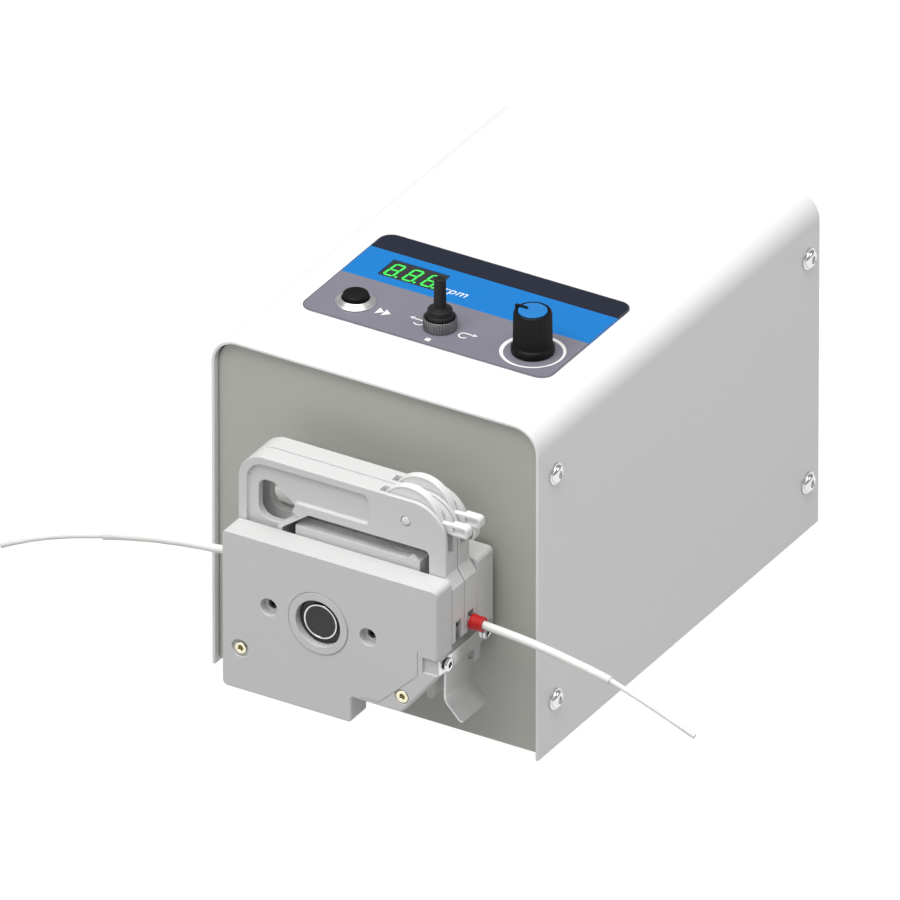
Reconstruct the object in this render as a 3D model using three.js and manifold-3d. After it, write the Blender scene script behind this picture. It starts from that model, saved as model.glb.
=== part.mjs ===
// Bench-top peristaltic pump: a folded steel casing with a gearmotor inside, and a two-channel
// pump head on its front. Millimetres, +Z up, +X to the operator's right, -Y towards the operator.
// Pieces are drawn in the casing's frame: X = 0 at its middle, Y = 0 at the cover's front edge,
// Z = 0 at the cover's lower edge. The group at the end moves them onto the base origin.
import * as THREE from "three";
import { mergeVertices } from "three/addons/utils/BufferGeometryUtils.js";
import Module from "manifold-3d";

const wasm = await Module();
wasm.setup();

// ---- driving dimensions -------------------------------------------------------------------
const CASE_W = 130; // cover, outside
const CASE_D = 190;
const CASE_H = 130;
const SHEET = 1.2; // steel sheet
const FOLD_R = 10; // outer radius of the cover's two folds
const PANEL_SET_BACK = 2.5; // front and rear panels, behind the cover's edges
const PANEL_GAP = 1.6; // base sheet above the cover's lower edge
const FOOT_DROP = 5; // feet, below the cover's lower edge
const SCREW_Y = [11, 182]; // side screws, along the casing
const SCREW_Z = [19.5, 108.5];

const OVERLAY = { x: 49.5, y: [31.5, 91], r: 5, t: 0.4 }; // printed control overlay
const OVERLAY_GAP = 0.05; // film of glue under it
const WINDOW = { x: [-37.5, -14.9], y: [64.5, 76.1] };
const BUTTON = [-33.7, 44];
const TOGGLE = [0, 43.7];
const KNOB = [35.5, 45.9];

const AXIS_Z = 54.2; // rotor axis, along Y at X = 0
const HEAD_FRONT = -37.7; // front face of the front plate
const PLATE_T = 10.3; // front plate
const REAR_PLATE_T = 10.7;
const CARTRIDGE_T = 7.9;
const HEAD_GAP = 0.3; // between neighbouring plates
const HEAD_TOP = 80; // top of both plates
const ROLLER_COUNT = 6;
const ROLLER_R = 3.5;
const ROLLER_PITCH_R = 12.5; // roller pins from the rotor axis
const TRACK_R = 18.4; // curved face of a pressure bed, from the rotor axis
const TIE_ROD = { left: [-31.1, 35.2], right: [33.1, 35.1] };
const PIN = [28.4, 97.8]; // pressure lever's pin
const CAM = { x: 29.4, z: 97.5, r: 13 };
const TUBE_R = 1.5; // pump tubing
const TUBE_SQUEEZED = 0.85; // half of its thickness under the bed
const LEAD_R = 0.98; // thin lead tubing pushed into its ends

// ---- stations derived from them -----------------------------------------------------------
const HALF_W = CASE_W / 2;
const SKIN = CASE_H + OVERLAY_GAP + OVERLAY.t; // top of the overlay
const INSIDE_W = HALF_W - SHEET - 0.4; // chassis, inside the cover
const PANEL_BACK = PANEL_SET_BACK + SHEET;
const REAR_PANEL = CASE_D - PANEL_SET_BACK;
const FRONT_PLATE = [HEAD_FRONT, HEAD_FRONT + PLATE_T];
const REAR_PLATE = [-REAR_PLATE_T, 0];
const CARTRIDGE_FRONT = FRONT_PLATE[1] + HEAD_GAP;
const CARTRIDGES = { front: CARTRIDGE_FRONT, rear: CARTRIDGE_FRONT + CARTRIDGE_T + HEAD_GAP };
const TUBE_Y = CARTRIDGES.rear + CARTRIDGE_T / 2;
const DISC = [FRONT_PLATE[1] - 2.5, FRONT_PLATE[1] - 0.3]; // rotor's front disc
const REAR_DISC = [REAR_PLATE[0] + 0.3, REAR_PLATE[0] + 2.5];
const TUBE_LEFT_Z = 57.5;
const TUBE_RIGHT_Z = 57.9;
const STOP_L = [-43.2, -38.4];
const STOP_R = [47.5, 52.3];

// Free tubing as it lies: each route is a list of [X, Z] in the plane Y = TUBE_Y.
const ROUTE_LEFT = [
  [-43.6, 57.4], [-47.8, 57.1], [-52, 56.7], [-56, 56.2], [-61.6, 55.6], [-67.3, 54.9],
  [-72.3, 54.1], [-77.3, 53.3], [-82.3, 52.3], [-87.2, 51.2], [-92.2, 50], [-96, 49],
  [-99.2, 48.1],
];
const ROUTE_LEAD_LEFT = [
  [-99.6, 48], [-104.5, 46.5], [-107.6, 45.6], [-110.6, 44.7], [-113.6, 43.7], [-116.7, 42.6],
  [-119.7, 41.5], [-122.8, 40.3], [-125.9, 39], [-128.9, 37.7], [-132, 36.2], [-135.1, 34.7],
  [-137.6, 33.4], [-140.2, 32],
];
const ROUTE_RIGHT = [
  [52.7, 57.8], [55.7, 57.6], [58.8, 57.4], [62.5, 57.1], [66.2, 56.8], [70, 56.4], [74, 55.9],
  [78.4, 55.3], [82.8, 54.6], [87.4, 53.8], [92, 53], [97, 52], [102.2, 50.9],
];
const ROUTE_LEAD_RIGHT = [
  [102.6, 50.8], [105.2, 50], [107.9, 49.1], [110.6, 48.2], [113.3, 47.3], [116, 46.3],
  [118.8, 45.3], [121.6, 44.3], [124.4, 43.2], [127.2, 42.1], [130, 41], [132.8, 39.9],
  [135.6, 38.8],
];

// ---- solids ---------------------------------------------------------------------------------
function solid(geometry) {
  geometry.deleteAttribute("normal");
  geometry.deleteAttribute("uv");
  const merged = mergeVertices(geometry, 1e-4);
  return new wasm.Manifold(new wasm.Mesh({
    numProp: 3,
    vertProperties: merged.attributes.position.array,
    triVerts: new Uint32Array(merged.index.array),
  }));
}

function join(...parts) {
  return parts.reduce((a, b) => a.add(b));
}

function cut(body, ...tools) {
  return tools.reduce((a, b) => a.subtract(b), body);
}

// A box between two corners.
function box([x0, x1], [y0, y1], [z0, z1]) {
  const g = new THREE.BoxGeometry(x1 - x0, y1 - y0, z1 - z0);
  return solid(g.translate((x0 + x1) / 2, (y0 + y1) / 2, (z0 + z1) / 2));
}

// A closed outline of [u, v, corner radius] points; a corner with a radius becomes an arc.
function outline(points) {
  const shape = new THREE.Shape();
  const at = (i) => new THREE.Vector2(...points[(i + points.length) % points.length]);
  points.forEach((point, i) => {
    const corner = at(i);
    const radius = point[2] ?? 0;
    if (!radius) {
      if (i) shape.lineTo(corner.x, corner.y);
      else shape.moveTo(corner.x, corner.y);
      return;
    }
    const before = at(i - 1).sub(corner).normalize();
    const after = at(i + 1).sub(corner).normalize();
    const half = Math.acos(before.dot(after)) / 2;
    const start = corner.clone().addScaledVector(before, radius / Math.tan(half));
    const end = corner.clone().addScaledVector(after, radius / Math.tan(half));
    const middle = before.clone().add(after).normalize();
    const centre = corner.clone().addScaledVector(middle, radius / Math.sin(half));
    if (i) shape.lineTo(start.x, start.y);
    else shape.moveTo(start.x, start.y);
    const from = start.clone().sub(centre);
    const to = end.clone().sub(centre);
    const clockwise = from.cross(to) < 0;
    shape.absarc(centre.x, centre.y, radius, from.angle(), to.angle(), clockwise);
  });
  shape.closePath();
  return shape;
}

const OPTIONS = { bevelEnabled: false, curveSegments: 3 };

// An outline in XZ, carried along Y.
function plate(points, y0, y1) {
  const g = new THREE.ExtrudeGeometry(outline(points), { ...OPTIONS, depth: y1 - y0 });
  return solid(g.rotateX(Math.PI / 2).translate(0, y1, 0));
}

// An outline in XY, carried along Z.
function slab(points, z0, z1) {
  const g = new THREE.ExtrudeGeometry(outline(points), { ...OPTIONS, depth: z1 - z0 });
  return solid(g.translate(0, 0, z0));
}

// A turned piece: [radius, height] points round +Z, from the axis back to it, or a closed ring.
function turned(profile, sides, ring = false) {
  const points = profile.map(([r, h]) => new THREE.Vector2(r, h));
  if (ring) points.push(points[0].clone());
  const made = solid(new THREE.LatheGeometry(points, sides).rotateX(Math.PI / 2));
  if (made.volume() > 0) return made;
  points.reverse();
  return solid(new THREE.LatheGeometry(points, sides).rotateX(Math.PI / 2));
}

// A round bar along an axis, from one station to another, centred on the other two coordinates.
function bar(axis, radius, from, to, [p, q], sides = 20) {
  const g = new THREE.CylinderGeometry(radius, radius, to - from, sides);
  const middle = (from + to) / 2;
  if (axis === "y") return solid(g.translate(p, middle, q));
  if (axis === "x") return solid(g.rotateZ(Math.PI / 2).translate(middle, p, q));
  return solid(g.rotateX(Math.PI / 2).translate(p, q, middle));
}

// A turned piece laid along -Y (its height pointing at the operator) or along X.
function along(axis, made, place) {
  const turn = { "-y": [90, 0, 0], x: [0, 90, 0], "-x": [0, -90, 0] }[axis];
  return made.rotate(turn).translate(place);
}

// A section of half sizes (thick, wide) carried along a route in the tubing's plane.
function tube(route, thick, wide, steps, sides = 8) {
  const section = new THREE.Shape();
  for (let i = 0; i < sides; i += 1) {
    const a = ((i + 0.5) * 2 * Math.PI) / sides;
    const point = [thick * Math.cos(a), wide * Math.sin(a)];
    if (i) section.lineTo(...point);
    else section.moveTo(...point);
  }
  const path = new THREE.CatmullRomCurve3(route.map(([x, z]) => new THREE.Vector3(x, TUBE_Y, z)));
  return solid(new THREE.ExtrudeGeometry(section, { steps, extrudePath: path }));
}

// ---- nodes ----------------------------------------------------------------------------------
const pump = new THREE.Group();

function node(name, body, color, roughness, metalness = 0) {
  const mesh = body.getMesh();
  const g = new THREE.BufferGeometry();
  g.setAttribute("position", new THREE.BufferAttribute(mesh.vertProperties, 3));
  g.setIndex(new THREE.BufferAttribute(mesh.triVerts, 1));
  g.computeVertexNormals();
  const made = new THREE.Mesh(g, new THREE.MeshStandardMaterial({ color, roughness, metalness }));
  made.name = name;
  pump.add(made);
}

const WHITE = 0xe9e9e6;
const PANEL = 0x9b9c93;
const HEAD_GREY = 0xc6c6c4;
const BLACK = 0x1b1b1a;
const STEEL = 0xb9bbbc;
const BRASS = 0xb99b55;
const TUBING = 0xdcdcd8;
const RED = 0xc40d0d;

// ---- casing ---------------------------------------------------------------------------------
// The opening of the display and the holes of the three controls, from z0 to z1.
function controlHoles(z0, z1, margin) {
  const { x, y } = WINDOW;
  return [
    box([x[0] - margin, x[1] + margin], [y[0] - margin, y[1] + margin], [z0, z1]),
    bar("z", 6.1, z0, z1, BUTTON),
    bar("z", 3.5, z0, z1, TOGGLE),
    bar("z", 3.8, z0, z1, KNOB),
  ];
}

function cover() {
  const inner = HALF_W - SHEET;
  const shell = plate([
    [-HALF_W, 0], [-inner, 0], [-inner, CASE_H - SHEET, FOLD_R - SHEET],
    [inner, CASE_H - SHEET, FOLD_R - SHEET], [inner, 0], [HALF_W, 0],
    [HALF_W, CASE_H, FOLD_R], [-HALF_W, CASE_H, FOLD_R],
  ], 0, CASE_D);
  const screwHoles = SCREW_Y.flatMap((y) => SCREW_Z.map((z) =>
    bar("x", 2.2, -HALF_W - 1, HALF_W + 1, [y, z], 12)));
  return cut(shell, ...controlHoles(CASE_H - 4, CASE_H + 2, 0), ...screwHoles);
}

const INLET = { x: 22, z: 34, w: 27.4, h: 20.2, flange: [31.6, 24.4] };
const SWITCH = { x: -12, z: 34, w: 19.2, h: 12.6, flange: [21.6, 15] };

function rectHole({ x, z, w, h }, grow, y0, y1) {
  const [dx, dz] = [w / 2 + grow, h / 2 + grow];
  return box([x - dx, x + dx], [y0, y1], [z - dz, z + dz]);
}

// The chassis is one folded tray: front panel, base, rear panel, and a flange at each side of
// each panel that takes the cover's screws.
function chassis() {
  const panel = [
    [-INSIDE_W, PANEL_GAP], [INSIDE_W, PANEL_GAP],
    [INSIDE_W, CASE_H - SHEET - 0.4, FOLD_R - SHEET], [-INSIDE_W, CASE_H - SHEET - 0.4, FOLD_R - SHEET],
  ];
  const base = box([-INSIDE_W, INSIDE_W], [PANEL_SET_BACK, REAR_PANEL], [PANEL_GAP, PANEL_GAP + SHEET]);
  const flangeDepth = 14;
  const flanges = [-1, 1].flatMap((side) => [
    [PANEL_BACK - 0.5, PANEL_BACK + flangeDepth],
    [REAR_PANEL - SHEET - flangeDepth, REAR_PANEL - SHEET + 0.5],
  ].map((y) => {
    const x = [side * (INSIDE_W - SHEET), side * INSIDE_W].sort((a, b) => a - b);
    return box(x, y, [PANEL_GAP, CASE_H - 14]);
  }));
  const tray = join(
    base,
    plate(panel, PANEL_SET_BACK, PANEL_BACK),
    plate(panel, REAR_PANEL - SHEET, REAR_PANEL),
    ...flanges,
  );
  const screwHoles = SCREW_Y.flatMap((y) => SCREW_Z.map((z) =>
    bar("x", 1.9, -HALF_W, HALF_W, [y, z], 12)));
  return cut(
    tray,
    bar("y", 12, 0, 8, [0, AXIS_Z], 28),
    rectHole(INLET, 0.3, REAR_PANEL - 4, REAR_PANEL + 1),
    rectHole(SWITCH, 0.3, REAR_PANEL - 4, REAR_PANEL + 1),
    ...screwHoles,
  );
}

function sideScrew(side, y, z) {
  const made = join(
    turned([[0, 0], [4, 0], [4, 0.9], [3.3, 1.8], [1.9, 2.3], [0, 2.4]], 20),
    turned([[0, -5], [1.6, -5], [1.6, 0.3], [0, 0.3]], 12),
  );
  return along(side > 0 ? "x" : "-x", made, [side * HALF_W, y, z]);
}

const FOOT = { x: 48, y: [20, 168] };

function foot(x, y) {
  return turned([[0, -FOOT_DROP], [6.2, -FOOT_DROP], [7.2, PANEL_GAP], [0, PANEL_GAP]], 20)
    .translate([x, y, 0]);
}

node("cover", cover(), WHITE, 0.45);
node("chassis", chassis(), PANEL, 0.5);
for (const [side, sideName] of [[-1, "left"], [1, "right"]]) {
  SCREW_Y.forEach((y, i) => SCREW_Z.forEach((z, j) => {
    const name = `side_screw_${sideName}_${["front", "rear"][i]}_${["low", "high"][j]}`;
    node(name, sideScrew(side, y, z), STEEL, 0.15, 1);
  }));
  FOOT.y.forEach((y, i) =>
    node(`foot_${["front", "rear"][i]}_${sideName}`, foot(side * FOOT.x, y), BLACK, 0.8));
}

// ---- controls on the top --------------------------------------------------------------------
function overlay() {
  const [y0, y1] = OVERLAY.y;
  const { x, r } = OVERLAY;
  const film = slab([[-x, y0, r], [x, y0, r], [x, y1, r], [-x, y1, r]], CASE_H + OVERLAY_GAP, SKIN);
  return cut(film, ...controlHoles(CASE_H - 1, CASE_H + 2, 0));
}

function display() {
  const { x, y } = WINDOW;
  return join(
    box([x[0] - 2, x[1] + 2], [y[0] - 3, y[1] + 3], [CASE_H - 11, CASE_H - SHEET - 0.3]),
    box([x[0] + 0.3, x[1] - 0.3], [y[0] + 0.3, y[1] - 0.3], [CASE_H - 2, CASE_H + 0.3]),
  );
}

function buttonBezel() {
  return turned([
    [4.9, -12], [5.7, -12], [5.7, 0.05], [7.15, 0.05], [7.15, 0.5], [5.4, 2.1], [4.9, 2.1],
  ], 32, true).translate([...BUTTON, SKIN]);
}

function buttonCap() {
  return turned([[0, -7], [4.6, -7], [4.6, 3.1], [4, 3.7], [0, 3.7]], 28)
    .translate([...BUTTON, SKIN]);
}

function toggleNut() {
  return turned([[3.4, 0.05], [5.8, 0.05], [5.8, 4.1], [5.5, 4.4], [5.4, 4.4], [5.4, 0.9], [3.4, 0.9]],
    28, true).translate([...TOGGLE, SKIN]);
}

function toggleBoot() {
  return turned([
    [0, 2.5], [5, 2.5], [5.1, 4], [5, 5.3], [4.5, 6.7], [3.5, 7.7], [2.2, 8.4], [2.1, 19.2],
    [1.8, 19.6], [0, 19.6],
  ], 24).translate([...TOGGLE, SKIN]);
}

function toggleBody() {
  const [x, y] = TOGGLE;
  const under = CASE_H - SHEET - 0.3;
  return join(
    box([x - 6.6, x + 6.6], [y - 4, y + 4], [under - 11, under]),
    bar("z", 3, under - 1, SKIN + 1.6, TOGGLE),
  );
}

const SHAFT_TOP = 10.7;

function potentiometer() {
  const under = CASE_H - SHEET - 0.3;
  return join(
    bar("z", 8, under - 9, under, KNOB, 24),
    bar("z", 3.4, under - 1, SKIN - 0.1, KNOB),
    bar("z", 2.9, SKIN - 1, SKIN + SHAFT_TOP, KNOB),
  );
}

const KNOB_TOP = 16.1;
const CAP_R = 5.15;

// The pointer is a small fin over the knob's rim, towards -X.
function pointer(grow) {
  return box([KNOB[0] - 7, KNOB[0] - 2 + grow], [KNOB[1] - 0.7 - grow, KNOB[1] + 0.7 + grow],
    [SKIN + KNOB_TOP - 0.8, SKIN + KNOB_TOP + 0.8]);
}

function speedKnob() {
  const body = turned([
    [3.2, 0.4], [7.6, 0.4], [7.6, 2.3], [7, 3.1], [6.75, 3.3], [6.55, KNOB_TOP - 0.5],
    [6.1, KNOB_TOP], [CAP_R + 0.3, KNOB_TOP], [CAP_R + 0.3, KNOB_TOP - 1], [0, KNOB_TOP - 1],
    [0, SHAFT_TOP + 0.6], [3.2, SHAFT_TOP + 0.6],
  ], 36, true).translate([...KNOB, SKIN]);
  return join(body, pointer(0));
}

function knobCap() {
  const body = turned([
    [0, KNOB_TOP - 0.7], [CAP_R, KNOB_TOP - 0.7], [CAP_R, KNOB_TOP + 0.1], [0, KNOB_TOP + 0.3],
  ], 32).translate([...KNOB, SKIN]);
  return cut(body, pointer(0.3));
}

node("control_overlay", overlay(), 0x86828c, 0.5);
node("display_module", display(), BLACK, 0.25);
node("button_bezel", buttonBezel(), STEEL, 0.12, 1);
node("button_cap", buttonCap(), BLACK, 0.5);
node("toggle_nut", toggleNut(), 0x6a6a66, 0.3, 1);
node("toggle_boot", toggleBoot(), BLACK, 0.6);
node("toggle_body", toggleBody(), BLACK, 0.5);
node("potentiometer", potentiometer(), STEEL, 0.4, 1);
node("speed_knob", speedKnob(), BLACK, 0.6);
node("knob_cap", knobCap(), 0x2f8fdc, 0.45);

// ---- drive, electronics and the rear sockets ------------------------------------------------
function motor() {
  return cut(
    join(
      bar("y", 11.2, PANEL_SET_BACK + 0.1, 6, [0, AXIS_Z], 28),
      bar("y", 20, PANEL_BACK + 0.3, 30, [0, AXIS_Z], 28),
      bar("y", 18, 29, 74, [0, AXIS_Z], 28),
      bar("y", 6, 73, 78, [0, AXIS_Z], 16),
    ),
    bar("y", 4.3, 0, 13, [0, AXIS_Z]),
  );
}

function controlBoard() {
  const top = PANEL_GAP + SHEET;
  const parts = [
    box([-50, 8], [92, 168], [top + 6, top + 7.6]),
    bar("z", 6, top + 7, top + 28, [-38, 104], 16),
    bar("z", 6, top + 7, top + 28, [-22, 104], 16),
    box([-14, 2], [98, 124], [top + 7, top + 19]),
    box([-46, -20], [134, 158], [top + 7, top + 11]),
  ];
  const posts = [-46, 4].flatMap((x) => [96, 164].map((y) => bar("z", 2.5, top + 0.3, top + 7, [x, y], 10)));
  return join(...parts, ...posts);
}

function powerSupply() {
  const top = PANEL_GAP + SHEET + 0.3;
  return join(box([18, 56], [88, 150], [top, top + 30]), box([14, 60], [88, 150], [top, top + 1.5]));
}

function powerInlet() {
  const { x, z, w, h, flange } = INLET;
  const body = join(
    box([x - w / 2, x + w / 2], [REAR_PANEL - 19, REAR_PANEL + 0.5], [z - h / 2, z + h / 2]),
    box([x - flange[0] / 2, x + flange[0] / 2], [REAR_PANEL + 0.1, REAR_PANEL + 2.1],
      [z - flange[1] / 2, z + flange[1] / 2]),
  );
  const [sw, sh] = [12, 8.25]; // half sizes of the socket, its two upper corners cut off
  const socket = plate([
    [x - sw, z - sh, 1], [x + sw, z - sh, 1], [x + sw, z + sh - 5], [x + sw - 5, z + sh],
    [x - sw + 5, z + sh], [x - sw, z + sh - 5],
  ], REAR_PANEL - 16, REAR_PANEL + 3);
  return cut(body, socket);
}

const ROCKER_TILT = 9;

function powerSwitch() {
  const { x, z, w, h, flange } = SWITCH;
  const body = join(
    box([x - w / 2, x + w / 2], [REAR_PANEL - 14, REAR_PANEL + 0.5], [z - h / 2, z + h / 2]),
    box([x - flange[0] / 2, x + flange[0] / 2], [REAR_PANEL + 0.1, REAR_PANEL + 1.5],
      [z - flange[1] / 2, z + flange[1] / 2]),
  );
  return cut(body, box([x - 8.6, x + 8.6], [REAR_PANEL - 7, REAR_PANEL + 3], [z - 5.6, z + 5.6]));
}

// The rocker turns about a Z axis just behind the frame; it rests pressed at its -X end.
function powerRocker() {
  const { x, z } = SWITCH;
  const g = new THREE.ExtrudeGeometry(
    outline([[-8.1, -1.4], [8.1, -1.4], [7.9, 1.6], [0, 0.6], [-7.9, 1.6]]),
    { ...OPTIONS, depth: 10.6 },
  );
  return solid(g.translate(0, 0, -5.3).rotateZ(THREE.MathUtils.degToRad(ROCKER_TILT)))
    .translate([x, REAR_PANEL - 0.9, z]);
}

node("motor", motor(), STEEL, 0.4, 1);
node("control_board", controlBoard(), 0x1d5a35, 0.6);
node("power_supply", powerSupply(), STEEL, 0.5, 1);
node("power_inlet", powerInlet(), BLACK, 0.5);
node("power_switch", powerSwitch(), BLACK, 0.5);
node("power_rocker", powerRocker(), BLACK, 0.4);

// ---- pump head: plates ----------------------------------------------------------------------
const HEAD_OUTLINE = [
  [-38.4, 18.7, 2], [13, 18.7, 1.5], [13, 28.8, 1], [33, 28.8, 1], [47, 46.4, 1],
  [47, HEAD_TOP, 2], [-38.4, HEAD_TOP, 2],
];
const STRAP = { z: [46.8, 52.6], y: [-36.5, -2] };
const STRAP_SCREW_Y = [-32, -6.5];
const STRAP_SCREW_Z = 49.7;

// Holes that both plates share: the tie rods' threaded ends and the strap screws.
function plateHoles(y0, y1) {
  return [
    bar("y", 2.2, y0, y1, TIE_ROD.left, 16),
    bar("y", 2.2, y0, y1, TIE_ROD.right, 16),
    ...STRAP_SCREW_Y.map((y) => bar("x", 1.35, 43.5, 49, [y, STRAP_SCREW_Z], 12)),
  ];
}

function frontPlate() {
  const [y0, y1] = FRONT_PLATE;
  const rotorAxis = [0, AXIS_Z];
  const blank = join(
    plate(HEAD_OUTLINE, y0, y1),
    bar("y", 11.9, y0 - 0.3, y0 + 1, rotorAxis, 36),
  );
  const fixings = [-19.7, 19.7].flatMap((x) => [
    bar("y", 3.2, y0 - 1, y0 + 3, [x, 54.7]),
    bar("y", 1.85, y0, y0 + 7, [x, 54.7], 14),
  ]);
  const recesses = Object.values(TIE_ROD).map((place) => bar("y", 3.3, y0 - 1, y0 + 1, place));
  return cut(
    blank,
    bar("y", 8.85, y0 - 1, y1 + 1, rotorAxis, 32),
    bar("y", 15.6, y1 - 2.8, y1 + 1, rotorAxis, 32),
    box([41.3, 48], [y0 - 1, y0 + 1.1], [47.1, 53.2]),
    ...fixings, ...recesses, ...plateHoles(y0 - 1, y1 + 1),
  );
}

function rearPlate() {
  const [y0, y1] = REAR_PLATE;
  return cut(
    plate(HEAD_OUTLINE, y0, y1),
    bar("y", 5, y0 - 1, y1 + 1, [0, AXIS_Z]),
    bar("y", 15.6, y0 - 1, y0 + 2.8, [0, AXIS_Z], 32),
    ...plateHoles(y0 - 1, y0 + 8),
  );
}

function headAdapter() {
  const [w, h] = [29, 25];
  const flange = plate([
    [-w, AXIS_Z - h, 4], [w, AXIS_Z - h, 4], [w, AXIS_Z + h, 4], [-w, AXIS_Z + h, 4],
  ], 0.1, PANEL_SET_BACK - 0.1);
  return cut(flange, bar("y", 5, 0, 4, [0, AXIS_Z]));
}

function tieRod(place) {
  return join(
    bar("y", 3.2, FRONT_PLATE[1] + 0.2, REAR_PLATE[0] - 0.2, place, 18),
    bar("y", 1.95, HEAD_FRONT + 0.4, REAR_PLATE[0] + 7, place, 16),
  );
}

node("head_adapter", headAdapter(), STEEL, 0.4, 1);
node("rear_plate", rearPlate(), HEAD_GREY, 0.5);
node("front_plate", frontPlate(), HEAD_GREY, 0.5);
node("tie_rod_left", tieRod(TIE_ROD.left), BRASS, 0.3, 1);
node("tie_rod_right", tieRod(TIE_ROD.right), BRASS, 0.3, 1);

// ---- pump head: rotor -----------------------------------------------------------------------
const CAP_FACE = HEAD_FRONT + 0.7;
const BEARING = [HEAD_FRONT + 1.2, HEAD_FRONT + 7];
const SHAFT_R = 3.9;

function frontBearing() {
  const [y0, y1] = BEARING;
  return cut(
    bar("y", 8.55, y0, y1, [0, AXIS_Z], 32),
    bar("y", SHAFT_R + 0.3, y0 - 1, y1 + 1, [0, AXIS_Z]),
  );
}

function pinPlace(i) {
  const a = ((i + 0.5) * 2 * Math.PI) / ROLLER_COUNT;
  return [ROLLER_PITCH_R * Math.cos(a), AXIS_Z + ROLLER_PITCH_R * Math.sin(a)];
}

function rotor() {
  const rotorAxis = [0, AXIS_Z];
  const pins = Array.from({ length: ROLLER_COUNT }, (_, i) =>
    bar("y", 1, DISC[1] - 0.5, REAR_DISC[0] + 0.5, pinPlace(i), 10));
  return join(
    bar("y", SHAFT_R, CAP_FACE, 12, rotorAxis),
    bar("y", 7.05, CAP_FACE, BEARING[0] - 0.1, rotorAxis, 32),
    bar("y", 6.5, DISC[0], REAR_DISC[1], rotorAxis),
    bar("y", 15, ...DISC, rotorAxis, 32),
    bar("y", 15, ...REAR_DISC, rotorAxis, 32),
    ...pins,
  );
}

function roller(i) {
  const place = pinPlace(i);
  return cut(
    bar("y", ROLLER_R, DISC[1] + 0.3, REAR_DISC[0] - 0.3, place, 18),
    bar("y", 1.3, DISC[1], REAR_DISC[0], place, 10),
  );
}

node("front_bearing", frontBearing(), BLACK, 0.5);
node("rotor", rotor(), STEEL, 0.25, 1);
for (let i = 0; i < ROLLER_COUNT; i += 1) node(`roller_${i + 1}`, roller(i), STEEL, 0.15, 1);

// ---- pump head: cartridges ------------------------------------------------------------------
const ARM_X = 44.3; // right arm above the plates
const CARTRIDGE_TOP = 106;
const ARCH_TOP = 88.4;
const TUBE_SLOT = { half: 1.9, top: 62.3 };
const CAM_SLOT = [1.5, 5.1]; // behind the cartridge's front face
const CAM_T = 3.1;

// A cartridge is a moulded loop: a hook round the left tie rod, a leg, a handle bar with a
// finger window, and a right arm. The arch between them holds the pressure bed.
function cartridge(y) {
  const back = y + CARTRIDGE_T;
  const middle = y + CARTRIDGE_T / 2;
  const [rodX, rodZ] = TIE_ROD.left;
  const loop = plate([
    [-38, CARTRIDGE_TOP, 10], [ARM_X, CARTRIDGE_TOP, 13], [ARM_X, 80.2], [47.1, 75.9],
    [47.1, 54.5], [37.6, 54.5], [37.6, ARCH_TOP, 2], [-10.2, ARCH_TOP], [-20.6, 80.8],
    [-20.6, 44, 2], [-24.2, 40, 2], [-24.2, 29.5, 3], [rodX - 3, 29.5], [rodX - 3, rodZ - 3.5],
    [rodX, rodZ - 3.5], [rodX, rodZ + 3.5], [-38, rodZ + 3.5],
  ], y, back);
  const window = plate([
    [-30.8, 96.6, 3.5], [-24.6, 96.6, 2], [-15.6, 89.2, 1], [-14.4, 87.2, 0.4],
    [-22.3, 81.4, 2.5], [-30.8, 81.4, 5],
  ], y - 1, back + 1);
  const facing = plate([
    [-34.7, 103.1, 7], [13.6, 103.1, 2.5], [13.6, 91.8, 1.2], [-15.1, 91.8, 1],
    [-16.6, 88.4], [-14.2, 87], [-22.3, 81], [-22.3, 70], [-34.7, 70],
  ], y - 1, y + 1);
  const [slot0, slot1] = CAM_SLOT;
  return cut(
    loop,
    window,
    facing,
    bar("y", 3.5, y - 1, back + 1, TIE_ROD.left),
    bar("y", 2.25, y - 1, back - 1, PIN, 18),
    box([17.4, 50], [y + slot0, y + slot1], [87.9, 120]),
    box([15.8, 39.5], [y + slot0, y + slot1], [86, 103.5]),
    box([-40, -18], [middle - TUBE_SLOT.half, middle + TUBE_SLOT.half], [28, TUBE_SLOT.top]),
    box([36, 49], [middle - TUBE_SLOT.half, middle + TUBE_SLOT.half], [50, TUBE_SLOT.top]),
    box([41.4, 46], [y - 1, back + 1], [50, 60]),
  );
}

// The pressure bed is the sliding block under the lever; its lower face is the occlusion track.
function pressureBed(y) {
  const [y0, y1] = [y + 0.55, y + CARTRIDGE_T - 0.55];
  const block = cut(
    plate([[-15.7, 60], [14, 60], [22, 67.5], [33.7, 70.5], [33.7, 83], [-15.7, 83]], y0, y1),
    bar("y", TRACK_R, y0 - 1, y1 + 1, [0, AXIS_Z], 48),
  );
  const tooth = plate([[28.7, 82.5], [33.7, 82.5], [33.7, 83], [31, 85.2], [28.7, 83]], y0, y0 + 0.7);
  return join(block, tooth);
}

// The pressure lever is an eccentric wheel on a pin, with a thumb tab outside the arm. Its lower
// left part is cut back, so that lifting the tab frees the bed.
function pressureLever(y) {
  const [w0, w1] = [y + CAM_SLOT[0] + 0.25, y + CAM_SLOT[0] + 0.25 + CAM_T];
  const wheel = cut(
    bar("y", CAM.r, w0, w1, [CAM.x, CAM.z], 48),
    box([0, 24], [y, y + 8], [80, 95]),
  );
  const tab = plate([[44.7, 96.8], [51.5, 96.8, 1.2], [51.5, 99.7, 1.2], [44.7, 99.7]], w0, w0 + 4.5);
  const grooves = [w0 - 1, w0 + 3.6].map((g) => box([45.8, 50], [g, g + 1.9], [97.5, 99]));
  return join(
    wheel,
    cut(tab, ...grooves),
    box([40, 45.5], [w0, w1], [96.9, 99.6]),
    bar("y", 1.95, y - 0.15, y + CARTRIDGE_T - 1.3, PIN, 18),
  );
}

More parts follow.
